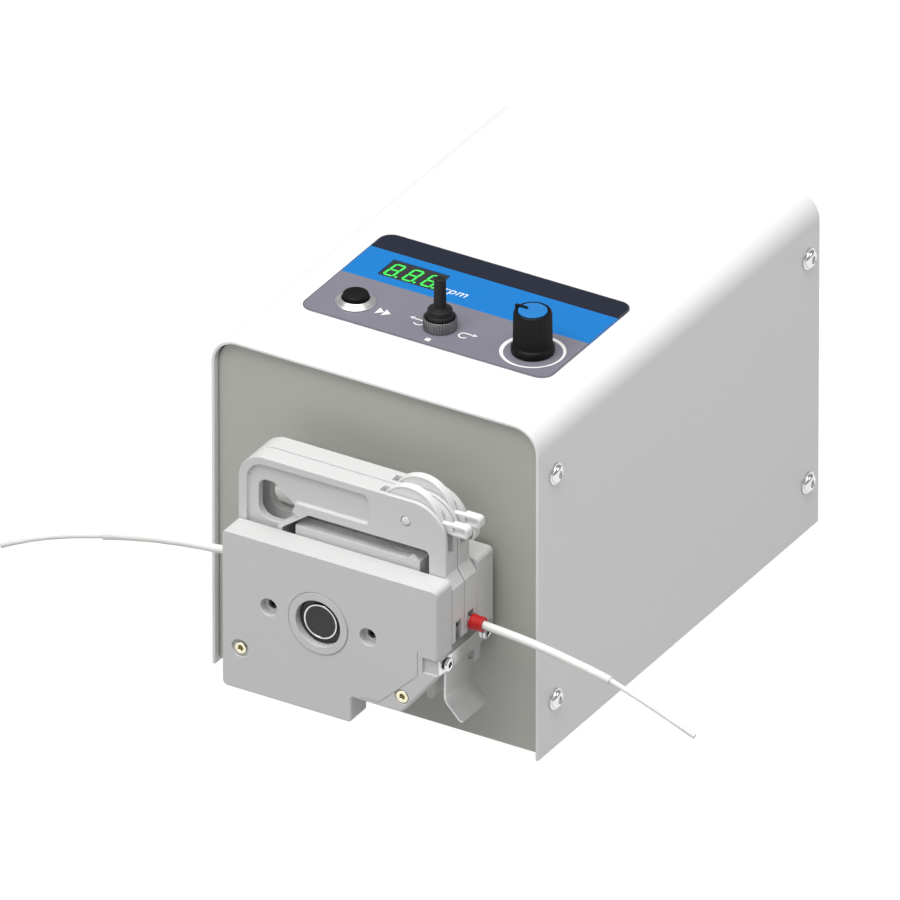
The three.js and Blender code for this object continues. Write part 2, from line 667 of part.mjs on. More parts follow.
for (const [name, y] of Object.entries(CARTRIDGES)) {
  node(`cartridge_${name}`, cartridge(y), 0xd6d6d4, 0.45);
  node(`pressure_bed_${name}`, pressureBed(y), 0xcfcfcd, 0.55);
  node(`pressure_lever_${name}`, pressureLever(y), 0xdededc, 0.4);
}

// ---- pump head: latch -----------------------------------------------------------------------
const LATCH = { y: [-26.3, -8.2], x: 43.7, t: 0.8, top: 56.4, knee: 31.4, tip: [50.4, 24.2] };

// A spring-steel tongue between the plates: its top holds the cartridges down, and its flared
// end is the thumb pad. Its shoulder clears the rear plate.
function releaseLever() {
  const { x, t, top, knee, tip } = LATCH;
  const blade = plate([
    [x, top], [x, knee, 3.6], tip, [tip[0] - t * 0.75, tip[1] - t * 0.7],
    [x - t, knee - t * 0.4, 4.4], [x - t, top],
  ], ...LATCH.y);
  return cut(blade, box([40, 50], [REAR_PLATE[0] - 0.5, 0], [39.5, 60]));
}

function latchStrap() {
  const strap = box([47.3, 47.9], STRAP.y, STRAP.z);
  return cut(strap, ...STRAP_SCREW_Y.map((y) => bar("x", 1.35, 47, 48.5, [y, STRAP_SCREW_Z], 12)));
}

function strapScrew(y) {
  const made = join(
    turned([[0, 0.1], [2.5, 0.1], [2.5, 0.9], [2.2, 1.2], [0, 1.2]], 18),
    turned([[0, -3.8], [1.05, -3.8], [1.05, 0.5], [0, 0.5]], 10),
  );
  return along("x", made, [47.9, y, STRAP_SCREW_Z]);
}

node("release_lever", releaseLever(), STEEL, 0.25, 1);
node("latch_strap", latchStrap(), STEEL, 0.2, 1);
node("strap_screw_front", strapScrew(STRAP_SCREW_Y[0]), STEEL, 0.15, 1);
node("strap_screw_rear", strapScrew(STRAP_SCREW_Y[1]), STEEL, 0.15, 1);

// ---- tubing ---------------------------------------------------------------------------------
// Inside the head the tube comes in level, bends up onto the track, runs round it at the
// squeezed thickness, and bends level again.
function headRoute() {
  const lap = TRACK_R - 0.3 - TUBE_SQUEEZED;
  const wrap = Math.PI / 3; // the track's half angle, each side of the top
  const [endX, endZ] = [lap * Math.sin(wrap), AXIS_Z + lap * Math.cos(wrap)];
  const points = [];
  const bend = (side, level) => {
    const r = (endZ - level) / (1 - Math.cos(wrap));
    const centreX = endX + r * Math.sin(wrap);
    const made = [[side * 47, level], [side * 35, level]];
    for (let k = 0; k < 3; k += 1) {
      const a = (wrap * k) / 3;
      made.push([side * (centreX - r * Math.sin(a)), level + r * (1 - Math.cos(a))]);
    }
    return made;
  };
  const left = bend(-1, TUBE_LEFT_Z);
  left[0][0] = STOP_L[0];
  points.push(...left);
  for (let k = 0; k <= 8; k += 1) {
    const a = -wrap + (2 * wrap * k) / 8;
    points.push([lap * Math.sin(a), AXIS_Z + lap * Math.cos(a)]);
  }
  const right = bend(1, TUBE_RIGHT_Z);
  right[0][0] = STOP_R[1];
  points.push(...right.reverse());
  return points;
}

function stop([x0, x1], z) {
  return cut(
    bar("x", 2.9, x0, x1, [TUBE_Y, z], 20),
    bar("x", TUBE_R + 0.3, x0 - 1, x1 + 1, [TUBE_Y, z], 16),
  );
}

node("tube_in_head", tube(headRoute(), TUBE_SQUEEZED, TUBE_R, 40), TUBING, 0.35);
node("tube_left", tube(ROUTE_LEFT, TUBE_R, TUBE_R, 12), TUBING, 0.35);
node("tube_right", tube(ROUTE_RIGHT, TUBE_R, TUBE_R, 12), TUBING, 0.35);
node("lead_tube_left", tube(ROUTE_LEAD_LEFT, LEAD_R, LEAD_R, 10), TUBING, 0.3);
node("lead_tube_right", tube(ROUTE_LEAD_RIGHT, LEAD_R, LEAD_R, 10), TUBING, 0.3);
node("tube_stop_left", stop(STOP_L, TUBE_LEFT_Z), RED, 0.5);
node("tube_stop_right", stop(STOP_R, TUBE_RIGHT_Z), RED, 0.5);

// The origin is on the table, under the middle of the pump without its tubing.
pump.position.set(0, -(HEAD_FRONT - 0.3 + CASE_D) / 2, FOOT_DROP);

export default pump;
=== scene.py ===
import math

import bmesh
import bpy
import numpy as np
from mathutils import Matrix, Vector


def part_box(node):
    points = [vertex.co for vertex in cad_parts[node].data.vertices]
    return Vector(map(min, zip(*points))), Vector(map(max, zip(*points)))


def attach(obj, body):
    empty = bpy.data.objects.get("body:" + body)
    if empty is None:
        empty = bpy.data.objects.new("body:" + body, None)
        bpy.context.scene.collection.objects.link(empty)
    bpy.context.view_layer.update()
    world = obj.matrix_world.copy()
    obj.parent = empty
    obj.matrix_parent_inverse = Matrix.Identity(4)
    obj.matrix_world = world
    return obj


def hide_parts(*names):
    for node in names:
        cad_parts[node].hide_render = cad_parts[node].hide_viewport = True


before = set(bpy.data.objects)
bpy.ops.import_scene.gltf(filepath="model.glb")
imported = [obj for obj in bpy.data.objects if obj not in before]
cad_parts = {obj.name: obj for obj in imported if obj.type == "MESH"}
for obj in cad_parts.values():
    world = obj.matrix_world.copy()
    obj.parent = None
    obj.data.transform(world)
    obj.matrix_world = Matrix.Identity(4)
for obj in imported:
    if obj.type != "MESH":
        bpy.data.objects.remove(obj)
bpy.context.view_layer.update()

# ---- studio ---------------------------------------------------------------------------------
# A pale seamless floor under broad soft light, seen through a very long lens from the right of
# the pump's front and from above, so that parallel edges stay nearly parallel.
scene = bpy.context.scene
scene.view_settings.view_transform = "Standard"
AZIMUTH, ELEVATION = math.radians(30.7), math.radians(30.1)
CAMERA_DISTANCE = 14.0
FIELD_WIDTH = 0.3095  # what the frame spans at the pump, in metres
AIM = (-0.01308, 0.06142)  # the frame's middle, to the right of and above the origin
FLOOR_SIZE = 400.0

right = np.array([math.cos(AZIMUTH), math.sin(AZIMUTH), 0.0])
back = np.array([
    math.sin(AZIMUTH) * math.cos(ELEVATION),
    -math.cos(AZIMUTH) * math.cos(ELEVATION),
    math.sin(ELEVATION),
])
up = np.cross(back, right)
camera = bpy.data.objects.new("camera", bpy.data.cameras.new("camera"))
camera.data.lens = camera.data.sensor_width * CAMERA_DISTANCE / FIELD_WIDTH
camera.data.clip_end = 500.0
place = right * AIM[0] + up * AIM[1] + back * CAMERA_DISTANCE
pose = np.eye(4)
pose[:3, :3] = np.column_stack([right, up, back])
pose[:3, 3] = place
camera.matrix_world = Matrix(pose.tolist())
scene.collection.objects.link(camera)
scene.camera = camera


def area_light(name, width, height, power, at, towards):
    """A rectangular soft light at one point, facing another."""
    light = bpy.data.lights.new(name, "AREA")
    light.shape = "RECTANGLE"
    light.size, light.size_y, light.energy = width, height, power
    lamp = bpy.data.objects.new(name, light)
    lamp.location = at
    lamp.rotation_mode = "QUATERNION"
    lamp.rotation_quaternion = (Vector(at) - Vector(towards)).to_track_quat("Z", "Y")
    scene.collection.objects.link(lamp)


area_light("overhead_light", 1.6, 1.4, 31.0, (0.0, -0.5, 1.65), (0.0, -0.05, 0.1))
area_light("front_light", 1.8, 0.8, 8.0, (-0.5, -1.9, 1.4), (0.0, 0.0, 0.08))
area_light("side_light", 1.2, 1.0, 7.0, (2.1, 0.9, 1.2), (0.0, 0.0, 0.08))

world = bpy.data.worlds.new("studio")
scene.world = world
world.use_nodes = True
world.node_tree.nodes["Background"].inputs["Color"].default_value = (1.0, 1.0, 1.0, 1.0)
world.node_tree.nodes["Background"].inputs["Strength"].default_value = 0.35

floor_mesh = bpy.data.meshes.new("floor")
half = FLOOR_SIZE / 2
floor_mesh.from_pydata([(-half, -half, 0), (half, -half, 0), (half, half, 0), (-half, half, 0)], [], [(0, 1, 2, 3)])
floor = bpy.data.objects.new("floor", floor_mesh)
scene.collection.objects.link(floor)
floor_paper = bpy.data.materials.new("floor_paper")
floor_paper.use_nodes = True
floor_paper.node_tree.nodes["Principled BSDF"].inputs["Base Color"].default_value = (0.10, 0.10, 0.10, 1.0)
floor_paper.node_tree.nodes["Principled BSDF"].inputs["Roughness"].default_value = 0.9
floor_paper.node_tree.nodes["Principled BSDF"].inputs["Emission Color"].default_value = (1.0, 1.0, 1.0, 1.0)
floor_paper.node_tree.nodes["Principled BSDF"].inputs["Emission Strength"].default_value = 0.97
floor_mesh.materials.append(floor_paper)
floor.visible_diffuse = False  # it glows white without lighting the pump from below

# ---- tubing ---------------------------------------------------------------------------------
# White pump tubing, 3 mm outside, runs through the rear cartridge and out at both sides; thin
# lead tubing is pushed into its two ends. Both are extruded silicone, cut square and left bare.
MM = 0.001
DATUM = np.array([0.0, *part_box("cover")[0][1:]]) / MM  # middle of the cover's lower front edge
TUBE_Y = -0.09095
PUMP_TUBE = 0.0030
LEAD_TUBE = 0.00195
BORE = 0.55  # the bore, as a share of the outside
SHOWN_BORE = 6.0  # how deep a bare end's bore is made, in millimetres
ROUTE_LEFT = [
    (-0.0420, 0.0625), (-0.0436, 0.0624), (-0.0478, 0.0621), (-0.0520, 0.0617), (-0.0560, 0.0612),
    (-0.0616, 0.0606), (-0.0673, 0.0599), (-0.0723, 0.0591), (-0.0773, 0.0583), (-0.0823, 0.0573),
    (-0.0872, 0.0562), (-0.0922, 0.0550), (-0.0960, 0.0540), (-0.0992, 0.0531),
]
ROUTE_LEAD_LEFT = [
    (-0.0976, 0.0535), (-0.0996, 0.0530), (-0.1045, 0.0515), (-0.1076, 0.0506), (-0.1106, 0.0497),
    (-0.1136, 0.0487), (-0.1167, 0.0476), (-0.1197, 0.0465), (-0.1228, 0.0453), (-0.1259, 0.0440),
    (-0.1289, 0.0427), (-0.1320, 0.0412), (-0.1351, 0.0397), (-0.1376, 0.0384), (-0.1402, 0.0370),
]
ROUTE_RIGHT = [
    (0.0512, 0.0629), (0.0527, 0.0628), (0.0557, 0.0626), (0.0588, 0.0624), (0.0625, 0.0621),
    (0.0662, 0.0618), (0.0700, 0.0614), (0.0740, 0.0609), (0.0784, 0.0603), (0.0828, 0.0596),
    (0.0874, 0.0588), (0.0920, 0.0580), (0.0970, 0.0570), (0.1022, 0.0559),
]
ROUTE_LEAD_RIGHT = [
    (0.1008, 0.0562), (0.1026, 0.0558), (0.1052, 0.0550), (0.1079, 0.0541), (0.1106, 0.0532),
    (0.1133, 0.0523), (0.1160, 0.0513), (0.1188, 0.0503), (0.1216, 0.0493), (0.1244, 0.0482),
    (0.1272, 0.0471), (0.1300, 0.0460), (0.1328, 0.0449), (0.1356, 0.0438),
]


def outward(points, faces):
    """The same closed shape with its faces pointing out: they are turned over where the sum of
    the tetrahedra between the origin and each face's fan of triangles is negative."""
    fan = np.array([(f[0], f[i], f[i + 1]) for f in faces for i in range(1, len(f) - 1)])
    a, b, c = (points[fan[:, k]] for k in range(3))
    if np.einsum("ij,ij->i", a, np.cross(b, c)).sum() < 0:
        faces = [f[::-1] for f in faces]
    return points, faces


def lofted(rings, looped=False):
    """Rings of points, each joined to the next by four-sided faces. The first and last rings
    are closed by a flat face, or joined to each other where the shape is looped."""
    rings = np.asarray(rings, float)
    rows, count = rings.shape[:2]
    i, j = np.meshgrid(np.arange(rows if looped else rows - 1), np.arange(count), indexing="ij")
    a, b = i * count + j, i * count + (j + 1) % count
    c, d = ((i + 1) % rows) * count + (j + 1) % count, ((i + 1) % rows) * count + j
    faces = np.stack([a, b, c, d], -1).reshape(-1, 4).tolist()
    if not looped:
        first = list(range(count))
        faces += [first[::-1], [(rows - 1) * count + k for k in first]]
    return outward(rings.reshape(-1, 3), faces)


def smooth_route(route, steps):
    """A Catmull-Rom curve through the route's points, with some steps in each span: each point
    is the cubic blend of its span's four neighbours."""
    p = np.array(route, float)
    p = np.vstack([2 * p[0] - p[1], p, 2 * p[-1] - p[-2]])
    t = np.linspace(0, 1, steps, endpoint=False)[:, None]
    a, b, c, d = (p[k:len(p) - 3 + k, None, :] for k in range(4))
    curve = 0.5 * (2 * b + (c - a) * t + (2 * a - 5 * b + 4 * c - d) * t**2 + (3 * b - a - 3 * c + d) * t**3)
    return np.vstack([curve.reshape(-1, p.shape[1]), p[-2]])


def tube_rings(route, thick, wide, sides=24):
    """Rings round a route in a plane of constant Y: each is the route's point plus thick times
    the cosine along the route's normal and wide times the sine along Y. All in millimetres."""
    along = np.gradient(route, axis=0)
    along /= np.linalg.norm(along, axis=1)[:, None]
    angle = np.linspace(0, 2 * np.pi, sides, endpoint=False)
    thick = np.broadcast_to(thick, len(route))[:, None]
    x = route[:, :1] - thick * np.cos(angle) * along[:, 1:]
    z = route[:, 1:] + thick * np.cos(angle) * along[:, :1]
    y = np.broadcast_to(TUBE_Y / MM + wide * np.sin(angle), x.shape)
    return np.stack([x, y, z], -1)


def node_group(name, inputs, outputs):
    """A shader node group with named sockets, given as (name, kind, default) and (name, kind)."""
    group = bpy.data.node_groups.new(name, "ShaderNodeTree")
    for label, kind, value in inputs:
        group.interface.new_socket(label, in_out="INPUT", socket_type="NodeSocket" + kind).default_value = value
    for label, kind in outputs:
        group.interface.new_socket(label, in_out="OUTPUT", socket_type="NodeSocket" + kind)
    return group, group.nodes.new("NodeGroupInput"), group.nodes.new("NodeGroupOutput")


def grain_group():
    """Fine grain with broad mottling: the colour's value and the roughness follow a broad noise,
    and the normal comes from a fine noise and a finer one a third of its size."""
    group, given, made = node_group("grain", [
        ("Colour", "Color", (0.8, 0.8, 0.8, 1.0)), ("Mottling", "Float", 0.03), ("Roughness", "Float", 0.5),
        ("Roughness Spread", "Float", 0.05), ("Grains per Metre", "Float", 2000.0), ("Depth", "Float", 0.00002),
    ], [("Colour", "Color"), ("Roughness", "Float"), ("Normal", "Vector")])
    new, link = group.nodes.new, group.links.new
    place = new("ShaderNodeTexCoord")
    broad, fine, finer = (new("ShaderNodeTexNoise") for _ in range(3))
    broad.inputs["Scale"].default_value = 90.0
    broad.inputs["Detail"].default_value = 4.0
    fine.inputs["Detail"].default_value = 2.0
    triple = new("ShaderNodeMath")
    triple.operation = "MULTIPLY"
    triple.inputs[1].default_value = 3.1
    link(given.outputs["Grains per Metre"], fine.inputs["Scale"])
    link(given.outputs["Grains per Metre"], triple.inputs[0])
    link(triple.outputs[0], finer.inputs["Scale"])
    for noise in (broad, fine, finer):
        link(place.outputs["Object"], noise.inputs["Vector"])
    speckle = new("ShaderNodeMath")
    speckle.operation = "ADD"
    link(fine.outputs["Fac"], speckle.inputs[0])
    link(finer.outputs["Fac"], speckle.inputs[1])
    both = new("ShaderNodeMath")
    both.operation = "ADD"
    link(broad.outputs["Fac"], both.inputs[0])
    link(speckle.outputs[0], both.inputs[1])
    centred = new("ShaderNodeMath")  # from about -1 to 1
    centred.operation = "SUBTRACT"
    centred.inputs[1].default_value = 1.5
    link(both.outputs[0], centred.inputs[0])
    value = new("ShaderNodeMath")
    value.operation = "MULTIPLY_ADD"
    value.inputs[2].default_value = 1.0
    link(centred.outputs[0], value.inputs[0])
    link(given.outputs["Mottling"], value.inputs[1])
    tint = new("ShaderNodeHueSaturation")
    link(value.outputs[0], tint.inputs["Value"])
    link(given.outputs["Colour"], tint.inputs["Color"])
    link(tint.outputs["Color"], made.inputs["Colour"])
    rough = new("ShaderNodeMath")
    rough.operation = "MULTIPLY_ADD"
    rough.use_clamp = True
    link(centred.outputs[0], rough.inputs[0])
    link(given.outputs["Roughness Spread"], rough.inputs[1])
    link(given.outputs["Roughness"], rough.inputs[2])
    link(rough.outputs[0], made.inputs["Roughness"])
    bump = new("ShaderNodeBump")
    link(given.outputs["Depth"], bump.inputs["Distance"])
    link(speckle.outputs[0], bump.inputs["Height"])
    link(bump.outputs["Normal"], made.inputs["Normal"])
    return group


GRAIN = grain_group()


def finish(name, colour, roughness, metallic=0.0, mottling=0.03, spread=0.06, grains=2000.0, depth=0.01,
           group=GRAIN, **sockets):
    """A material: a Principled shader whose colour, roughness and normal come from a surface
    group with this finish's own values. Depth is in millimetres; other sockets are constants."""
    material = bpy.data.materials.new(name)
    material.use_nodes = True
    tree = material.node_tree
    shader = tree.nodes["Principled BSDF"]
    shader.inputs["Metallic"].default_value = metallic
    for socket, value in sockets.items():
        shader.inputs[socket.replace("_", " ")].default_value = value
    surface = tree.nodes.new("ShaderNodeGroup")
    surface.node_tree = group
    for socket, value in {
        "Colour": (*colour, 1.0), "Mottling": mottling, "Roughness": roughness, "Roughness Spread": spread,
        "Grains per Metre": grains, "Depth": depth * MM,
    }.items():
        surface.inputs[socket].default_value = value
    tree.links.new(surface.outputs["Colour"], shader.inputs["Base Color"])
    tree.links.new(surface.outputs["Roughness"], shader.inputs["Roughness"])
    tree.links.new(surface.outputs["Normal"], shader.inputs["Normal"])
    return material


def piece(name, shape, material, body="root", nodes=(), sharp=40, bevel=0.0):
    """An object from a closed shape in millimetres from the casing's datum, smooth but for its
    sharp edges. It rides on a body, and stands for the nodes named. A bevel rounds its edges."""
    points, faces = shape
    mesh = bpy.data.meshes.new(name)
    mesh.from_pydata(((np.asarray(points) + DATUM) * MM).tolist(), [], faces)
    mesh.materials.append(material)
    mesh.shade_smooth()
    made = bpy.data.objects.new(name, mesh)
    scene.collection.objects.link(made)
    if bevel:
        rounding = made.modifiers.new("rounding", "BEVEL")
        rounding.width, rounding.segments = bevel * MM, 2
        rounding.limit_method, rounding.angle_limit = "ANGLE", math.radians(sharp)
    else:
        mesh.set_sharp_from_angle(angle=math.radians(sharp))
    made.modifiers.new("shading", "WEIGHTED_NORMAL").keep_sharp = True
    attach(made, body)
    if nodes:
        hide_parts(*nodes)
    return made


silicone = finish("silicone_tubing", (0.83, 0.83, 0.81), 0.34, mottling=0.03, grains=900.0, depth=0.01,
                  Subsurface_Weight=0.35, Subsurface_Scale=0.002, Subsurface_Radius=(1.0, 1.0, 0.9))


def free_tube(name, route, diameter, replaced):
    """A stretch of tubing: the outer wall along the route, over the square-cut end, and back
    down the bore for the depth that shows."""
    path = smooth_route(np.array(route) / MM, 6)
    radius = diameter / MM / 2
    left = np.concatenate([[0], np.cumsum(np.linalg.norm(np.diff(path, axis=0), axis=1))])
    inner = path[left > left[-1] - SHOWN_BORE][::-1]
    walls = [
        tube_rings(path, radius, radius),
        tube_rings(path, radius - 0.08, radius - 0.08)[-1:],
        tube_rings(path, radius * BORE + 0.05, radius * BORE + 0.05)[-1:],
    ]
    bore = tube_rings(inner[::-1], radius * BORE, radius * BORE)[::-1]
    shape = lofted(np.concatenate([*walls, bore]) - DATUM)
    made = piece(name, shape, silicone, "cartridge_rear", [replaced])


free_tube("pump_tube_left", ROUTE_LEFT, PUMP_TUBE, "tube_left")
free_tube("pump_tube_right", ROUTE_RIGHT, PUMP_TUBE, "tube_right")
free_tube("lead_line_left", ROUTE_LEAD_LEFT, LEAD_TUBE, "lead_tube_left")
free_tube("lead_line_right", ROUTE_LEAD_RIGHT, LEAD_TUBE, "lead_tube_right")

# ---- cover ----------------------------------------------------------------------------------
# One sheet of 1.2 mm steel, folded over the top and down both sides, with cut-outs for the
# display and the three controls. It is powder coated white, with a faint orange peel.
CASE_HALF = 65.0
CASE_DEEP = 190.0
CASE_TALL = 130.0
SHEET = 1.2
FOLD = 10.0  # outer radius of the two folds
WINDOW = ((-37.5, -14.9), (64.5, 76.1))
BUTTON = (-33.7, 44.0)
TOGGLE = (0.0, 43.7)
KNOB = (35.5, 45.9)
SCREW_Y = (11.0, 182.0)
SCREW_Z = (19.5, 108.5)


def rounded(corners, steps=5):
    """A closed outline from corners of (u, v, radius): a corner with a radius becomes an arc
    touching both of its sides, walked in equal angles."""
    made = []
    for k, (u, v, *radius) in enumerate(corners):
        corner = np.array([u, v])
        if not radius:
            made.append(corner[None])
            continue
        before, after = (np.array(corners[j % len(corners)][:2]) - corner for j in (k - 1, k + 1))
        before, after = before / np.linalg.norm(before), after / np.linalg.norm(after)
        half_angle = math.acos(before @ after) / 2
        middle = (before + after) / np.linalg.norm(before + after)
        centre = corner + middle * radius[0] / math.sin(half_angle)
        start = corner + before * radius[0] / math.tan(half_angle) - centre
        turn = np.sign(before[1] * after[0] - before[0] * after[1]) * (math.pi - 2 * half_angle)
        angle = math.atan2(start[1], start[0]) + np.linspace(0, turn, steps + 1)
        made.append(centre + radius[0] * np.column_stack([np.cos(angle), np.sin(angle)]))
    return np.concatenate(made)


def circle(u, v, radius, sides=48):
    """An outline of equal steps round a centre."""
    angle = np.linspace(0, 2 * np.pi, sides, endpoint=False)
    return np.column_stack([u + radius * np.cos(angle), v + radius * np.sin(angle)])


def stepped(outline, stations, insets, plane):
    """An outline carried along the third axis: ring k lies at station k, its points moved inwards
    by inset k along the mitre, which is the sum of the two sides' normals over 1 + their product."""
    p = np.asarray(outline, float)
    following = np.roll(p, -1, 0)
    if (p[:, 0] * following[:, 1] - p[:, 1] * following[:, 0]).sum() < 0:
        p = p[::-1]
        insets = [np.asarray(inset)[..., ::-1] if np.ndim(inset) else inset for inset in insets]
        stations = [np.asarray(station)[..., ::-1] if np.ndim(station) else station for station in stations]
    side = np.roll(p, -1, 0) - p
    side /= np.linalg.norm(side, axis=1)[:, None]
    normal = np.column_stack([-side[:, 1], side[:, 0]])
    previous = np.roll(normal, 1, 0)
    mitre = (previous + normal) / (1 + (previous * normal).sum(1))[:, None]
    rings = []
    for station, inset in zip(stations, insets):
        uv = p + mitre * np.broadcast_to(inset, len(p))[:, None]
        columns = {"u": uv[:, 0], "v": uv[:, 1], "s": np.broadcast_to(station, len(p))}
        order = {"XZ": "usv", "XY": "uvs", "YZ": "suv"}[plane]
        rings.append(np.column_stack([columns[c] for c in order]))
    return lofted(rings)


QUARTER = np.linspace(0, np.pi / 2, 4)


def plate(outline, low, high, edge=0.3, far_edge=None, plane="XZ"):
    """An outline carried from one station to another with quarter-round rims: along each rim the
    outline moves in by edge (1 - sin a) at the depth edge (1 - cos a)."""
    far_edge = edge if far_edge is None else far_edge
    near = QUARTER if np.any(edge) else QUARTER[-1:]
    far = QUARTER[::-1] if np.any(far_edge) else QUARTER[-1:]
    edge, far_edge = np.asarray(edge), np.asarray(far_edge)
    stations = [low + edge * (1 - np.cos(a)) * bool(np.any(edge)) for a in near]
    stations += [high - far_edge * (1 - np.cos(a)) for a in far]
    insets = [edge * (1 - np.sin(a)) for a in near] + [far_edge * (1 - np.sin(a)) for a in far]
    return stepped(outline, stations, insets, plane)


def pocket(outline, mouth, floor_at, rim=0.2, fillet=0.0, plane="XZ"):
    """A cutter for a blind recess: its mouth flares by a quarter circle, and it may close in by
    another above its floor."""
    way = math.copysign(1, floor_at - mouth)
    stations = [mouth - way, *(mouth + way * rim * (1 - np.cos(QUARTER)))]
    insets = [-rim, *(-rim * (1 - np.sin(QUARTER)))]
    if fillet:
        stations += [*(floor_at - way * fillet * (1 - np.sin(QUARTER)))]
        insets += [*(fillet * (1 - np.cos(QUARTER)))]
    else:
        stations.append(floor_at)
        insets.append(0.0)
    return stepped(outline, stations, insets, plane)


def opening(outline, low, high, rim=0.2, plane="XZ"):
    """A cutter for a hole right through, flared by a quarter circle at both of its mouths."""
    inner = rim * (1 - np.cos(QUARTER))
    flare = -rim * (1 - np.sin(QUARTER))
    stations = [low - 1, *(low + inner), *(high - inner[::-1]), high + 1]
    return stepped(outline, stations, [-rim, *flare, *flare[::-1], -rim], plane)


def arrays(mesh):
    """A Blender mesh as its points and its faces, taken out in whole arrays. The mesh is freed."""
    points = np.empty(len(mesh.vertices) * 3, np.float32)
    corners = np.empty(len(mesh.loops), np.int32)
    starts = np.empty(len(mesh.polygons), np.int32)
    mesh.vertices.foreach_get("co", points)
    mesh.loops.foreach_get("vertex_index", corners)
    mesh.polygons.foreach_get("loop_start", starts)
    bpy.data.meshes.remove(mesh)
    return points.reshape(-1, 3), [face.tolist() for face in np.split(corners, starts[1:])]


def carved(shape, *tools, how="DIFFERENCE"):
    """The shape with each tool in turn cut away from it, or joined to it, by an exact Boolean."""
    blanks = []
    for points, faces in (shape, *tools):
        mesh = bpy.data.meshes.new("blank")
        mesh.from_pydata(np.asarray(points).tolist(), [], faces)
        blanks.append(bpy.data.objects.new("blank", mesh))
        scene.collection.objects.link(blanks[-1])
    for tool in blanks[1:]:
        step = blanks[0].modifiers.new("step", "BOOLEAN")
        step.operation, step.solver, step.object = how, "EXACT", tool
    ready = blanks[0].evaluated_get(bpy.context.evaluated_depsgraph_get())
    result = bpy.data.meshes.new_from_object(ready)
    for blank in blanks:
        bpy.data.meshes.remove(blank.data)
    return arrays(result)


def joined(*shapes):
    """Shapes joined into one closed skin."""
    return carved(*shapes, how="UNION")


def control_holes(low, high, gap):
    """Cutters for the display's window and the three controls' holes."""
    (x0, x1), (y0, y1) = WINDOW
    window = rounded([(x0 - gap, y0 - gap, 0.4), (x1 + gap, y0 - gap, 0.4), (x1 + gap, y1 + gap, 0.4),
                      (x0 - gap, y1 + gap, 0.4)], 2)
    holes = [circle(*place, radius) for place, radius in ((BUTTON, 6.1), (TOGGLE, 3.5), (KNOB, 3.8))]
    return [opening(hole, low, high, 0.08, "XY") for hole in (window, *holes)]


white_coat = finish("white_powder_coat", (0.84, 0.84, 0.835), 0.42, mottling=0.012, spread=0.08, grains=1100.0,
                    depth=0.014)
inner = CASE_HALF - SHEET
cover_profile = rounded([
    (-CASE_HALF, 0, 0.4), (-CASE_HALF, CASE_TALL, FOLD), (CASE_HALF, CASE_TALL, FOLD), (CASE_HALF, 0, 0.4),
    (inner, 0, 0.4), (inner, CASE_TALL - SHEET, FOLD - SHEET), (-inner, CASE_TALL - SHEET, FOLD - SHEET),
    (-inner, 0, 0.4),
], 12)
screw_holes = [
    plate(circle(y, z, 2.2, 24), -CASE_HALF - 1, CASE_HALF + 1, 0, plane="YZ") for y in SCREW_Y for z in SCREW_Z
]
cover_sheet = carved(plate(cover_profile, 0, CASE_DEEP, 0.3),
                     *control_holes(CASE_TALL - SHEET, CASE_TALL, 0), *screw_holes)
piece("cover_shell", cover_sheet, white_coat, nodes=["cover"])

# ---- chassis --------------------------------------------------------------------------------
# A tray of the same sheet: front panel, base and rear panel folded from one blank, set back in
# the cover and held by its eight screws. It is coated a greenish grey.


def tidied(node):
    """A CAD node's solid as a clean shape in the casing's millimetres: its loose triangles are
    welded, and the ones that lie in one plane become one face."""
    work = bmesh.new()
    work.from_mesh(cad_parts[node].data)
    bmesh.ops.remove_doubles(work, verts=work.verts, dist=0.000002)
    bmesh.ops.dissolve_limit(work, angle_limit=math.radians(0.6), verts=work.verts, edges=work.edges)
    mesh = bpy.data.meshes.new(node)
    work.to_mesh(mesh)
    work.free()
    points, faces = arrays(mesh)
    return points / MM - DATUM, faces


panel_coat = finish("panel_powder_coat", (0.465, 0.47, 0.43), 0.48, mottling=0.02, grains=1300.0, depth=0.012)
piece("chassis_tray", tidied("chassis"), panel_coat, nodes=["chassis"], bevel=0.25)

# ---- side screws and feet -------------------------------------------------------------------
# Eight chromed button-head screws hold the cover to the chassis: a flat rim, a domed head and a
# hexagonal socket. The pump stands on four moulded rubber feet with a hollow underside.
HEAD = {"rim": 4.0, "dome": 3.35, "top": 2.3, "socket": 1.35}


def turned(profile, sides=48, looped=False):
    """A profile of (radius, height) points turned round Z."""
    radius, height = np.array(profile, float).T
    angle = np.linspace(0, 2 * np.pi, sides, endpoint=False)
    x, y = radius[:, None] * np.cos(angle), radius[:, None] * np.sin(angle)
    return lofted(np.stack([x, y, np.broadcast_to(height[:, None], x.shape)], -1), looped)


TURNS = {
    "z": ((1, 0, 0), (0, 1, 0), (0, 0, 1)), "x": ((0, 0, 1), (0, 1, 0), (-1, 0, 0)),
    "-x": ((0, 0, -1), (0, 1, 0), (1, 0, 0)), "-y": ((1, 0, 0), (0, 0, -1), (0, 1, 0)),
    "y": ((1, 0, 0), (0, 0, 1), (0, -1, 0)),
}


def laid(shape, axis, at):
    """A shape made round Z, with its Z turned to point along an axis, and moved to a place."""
    points, faces = shape
    return np.asarray(points) @ np.array(TURNS[axis], float).T + np.array(at, float), faces


chrome = finish("chrome_plate", (0.74, 0.74, 0.75), 0.14, 1.0, mottling=0.02, spread=0.05, grains=3000.0, depth=0.002)
foot_rubber = finish("black_rubber", (0.022, 0.022, 0.022), 0.72, mottling=0.2, grains=2500.0, depth=0.03)

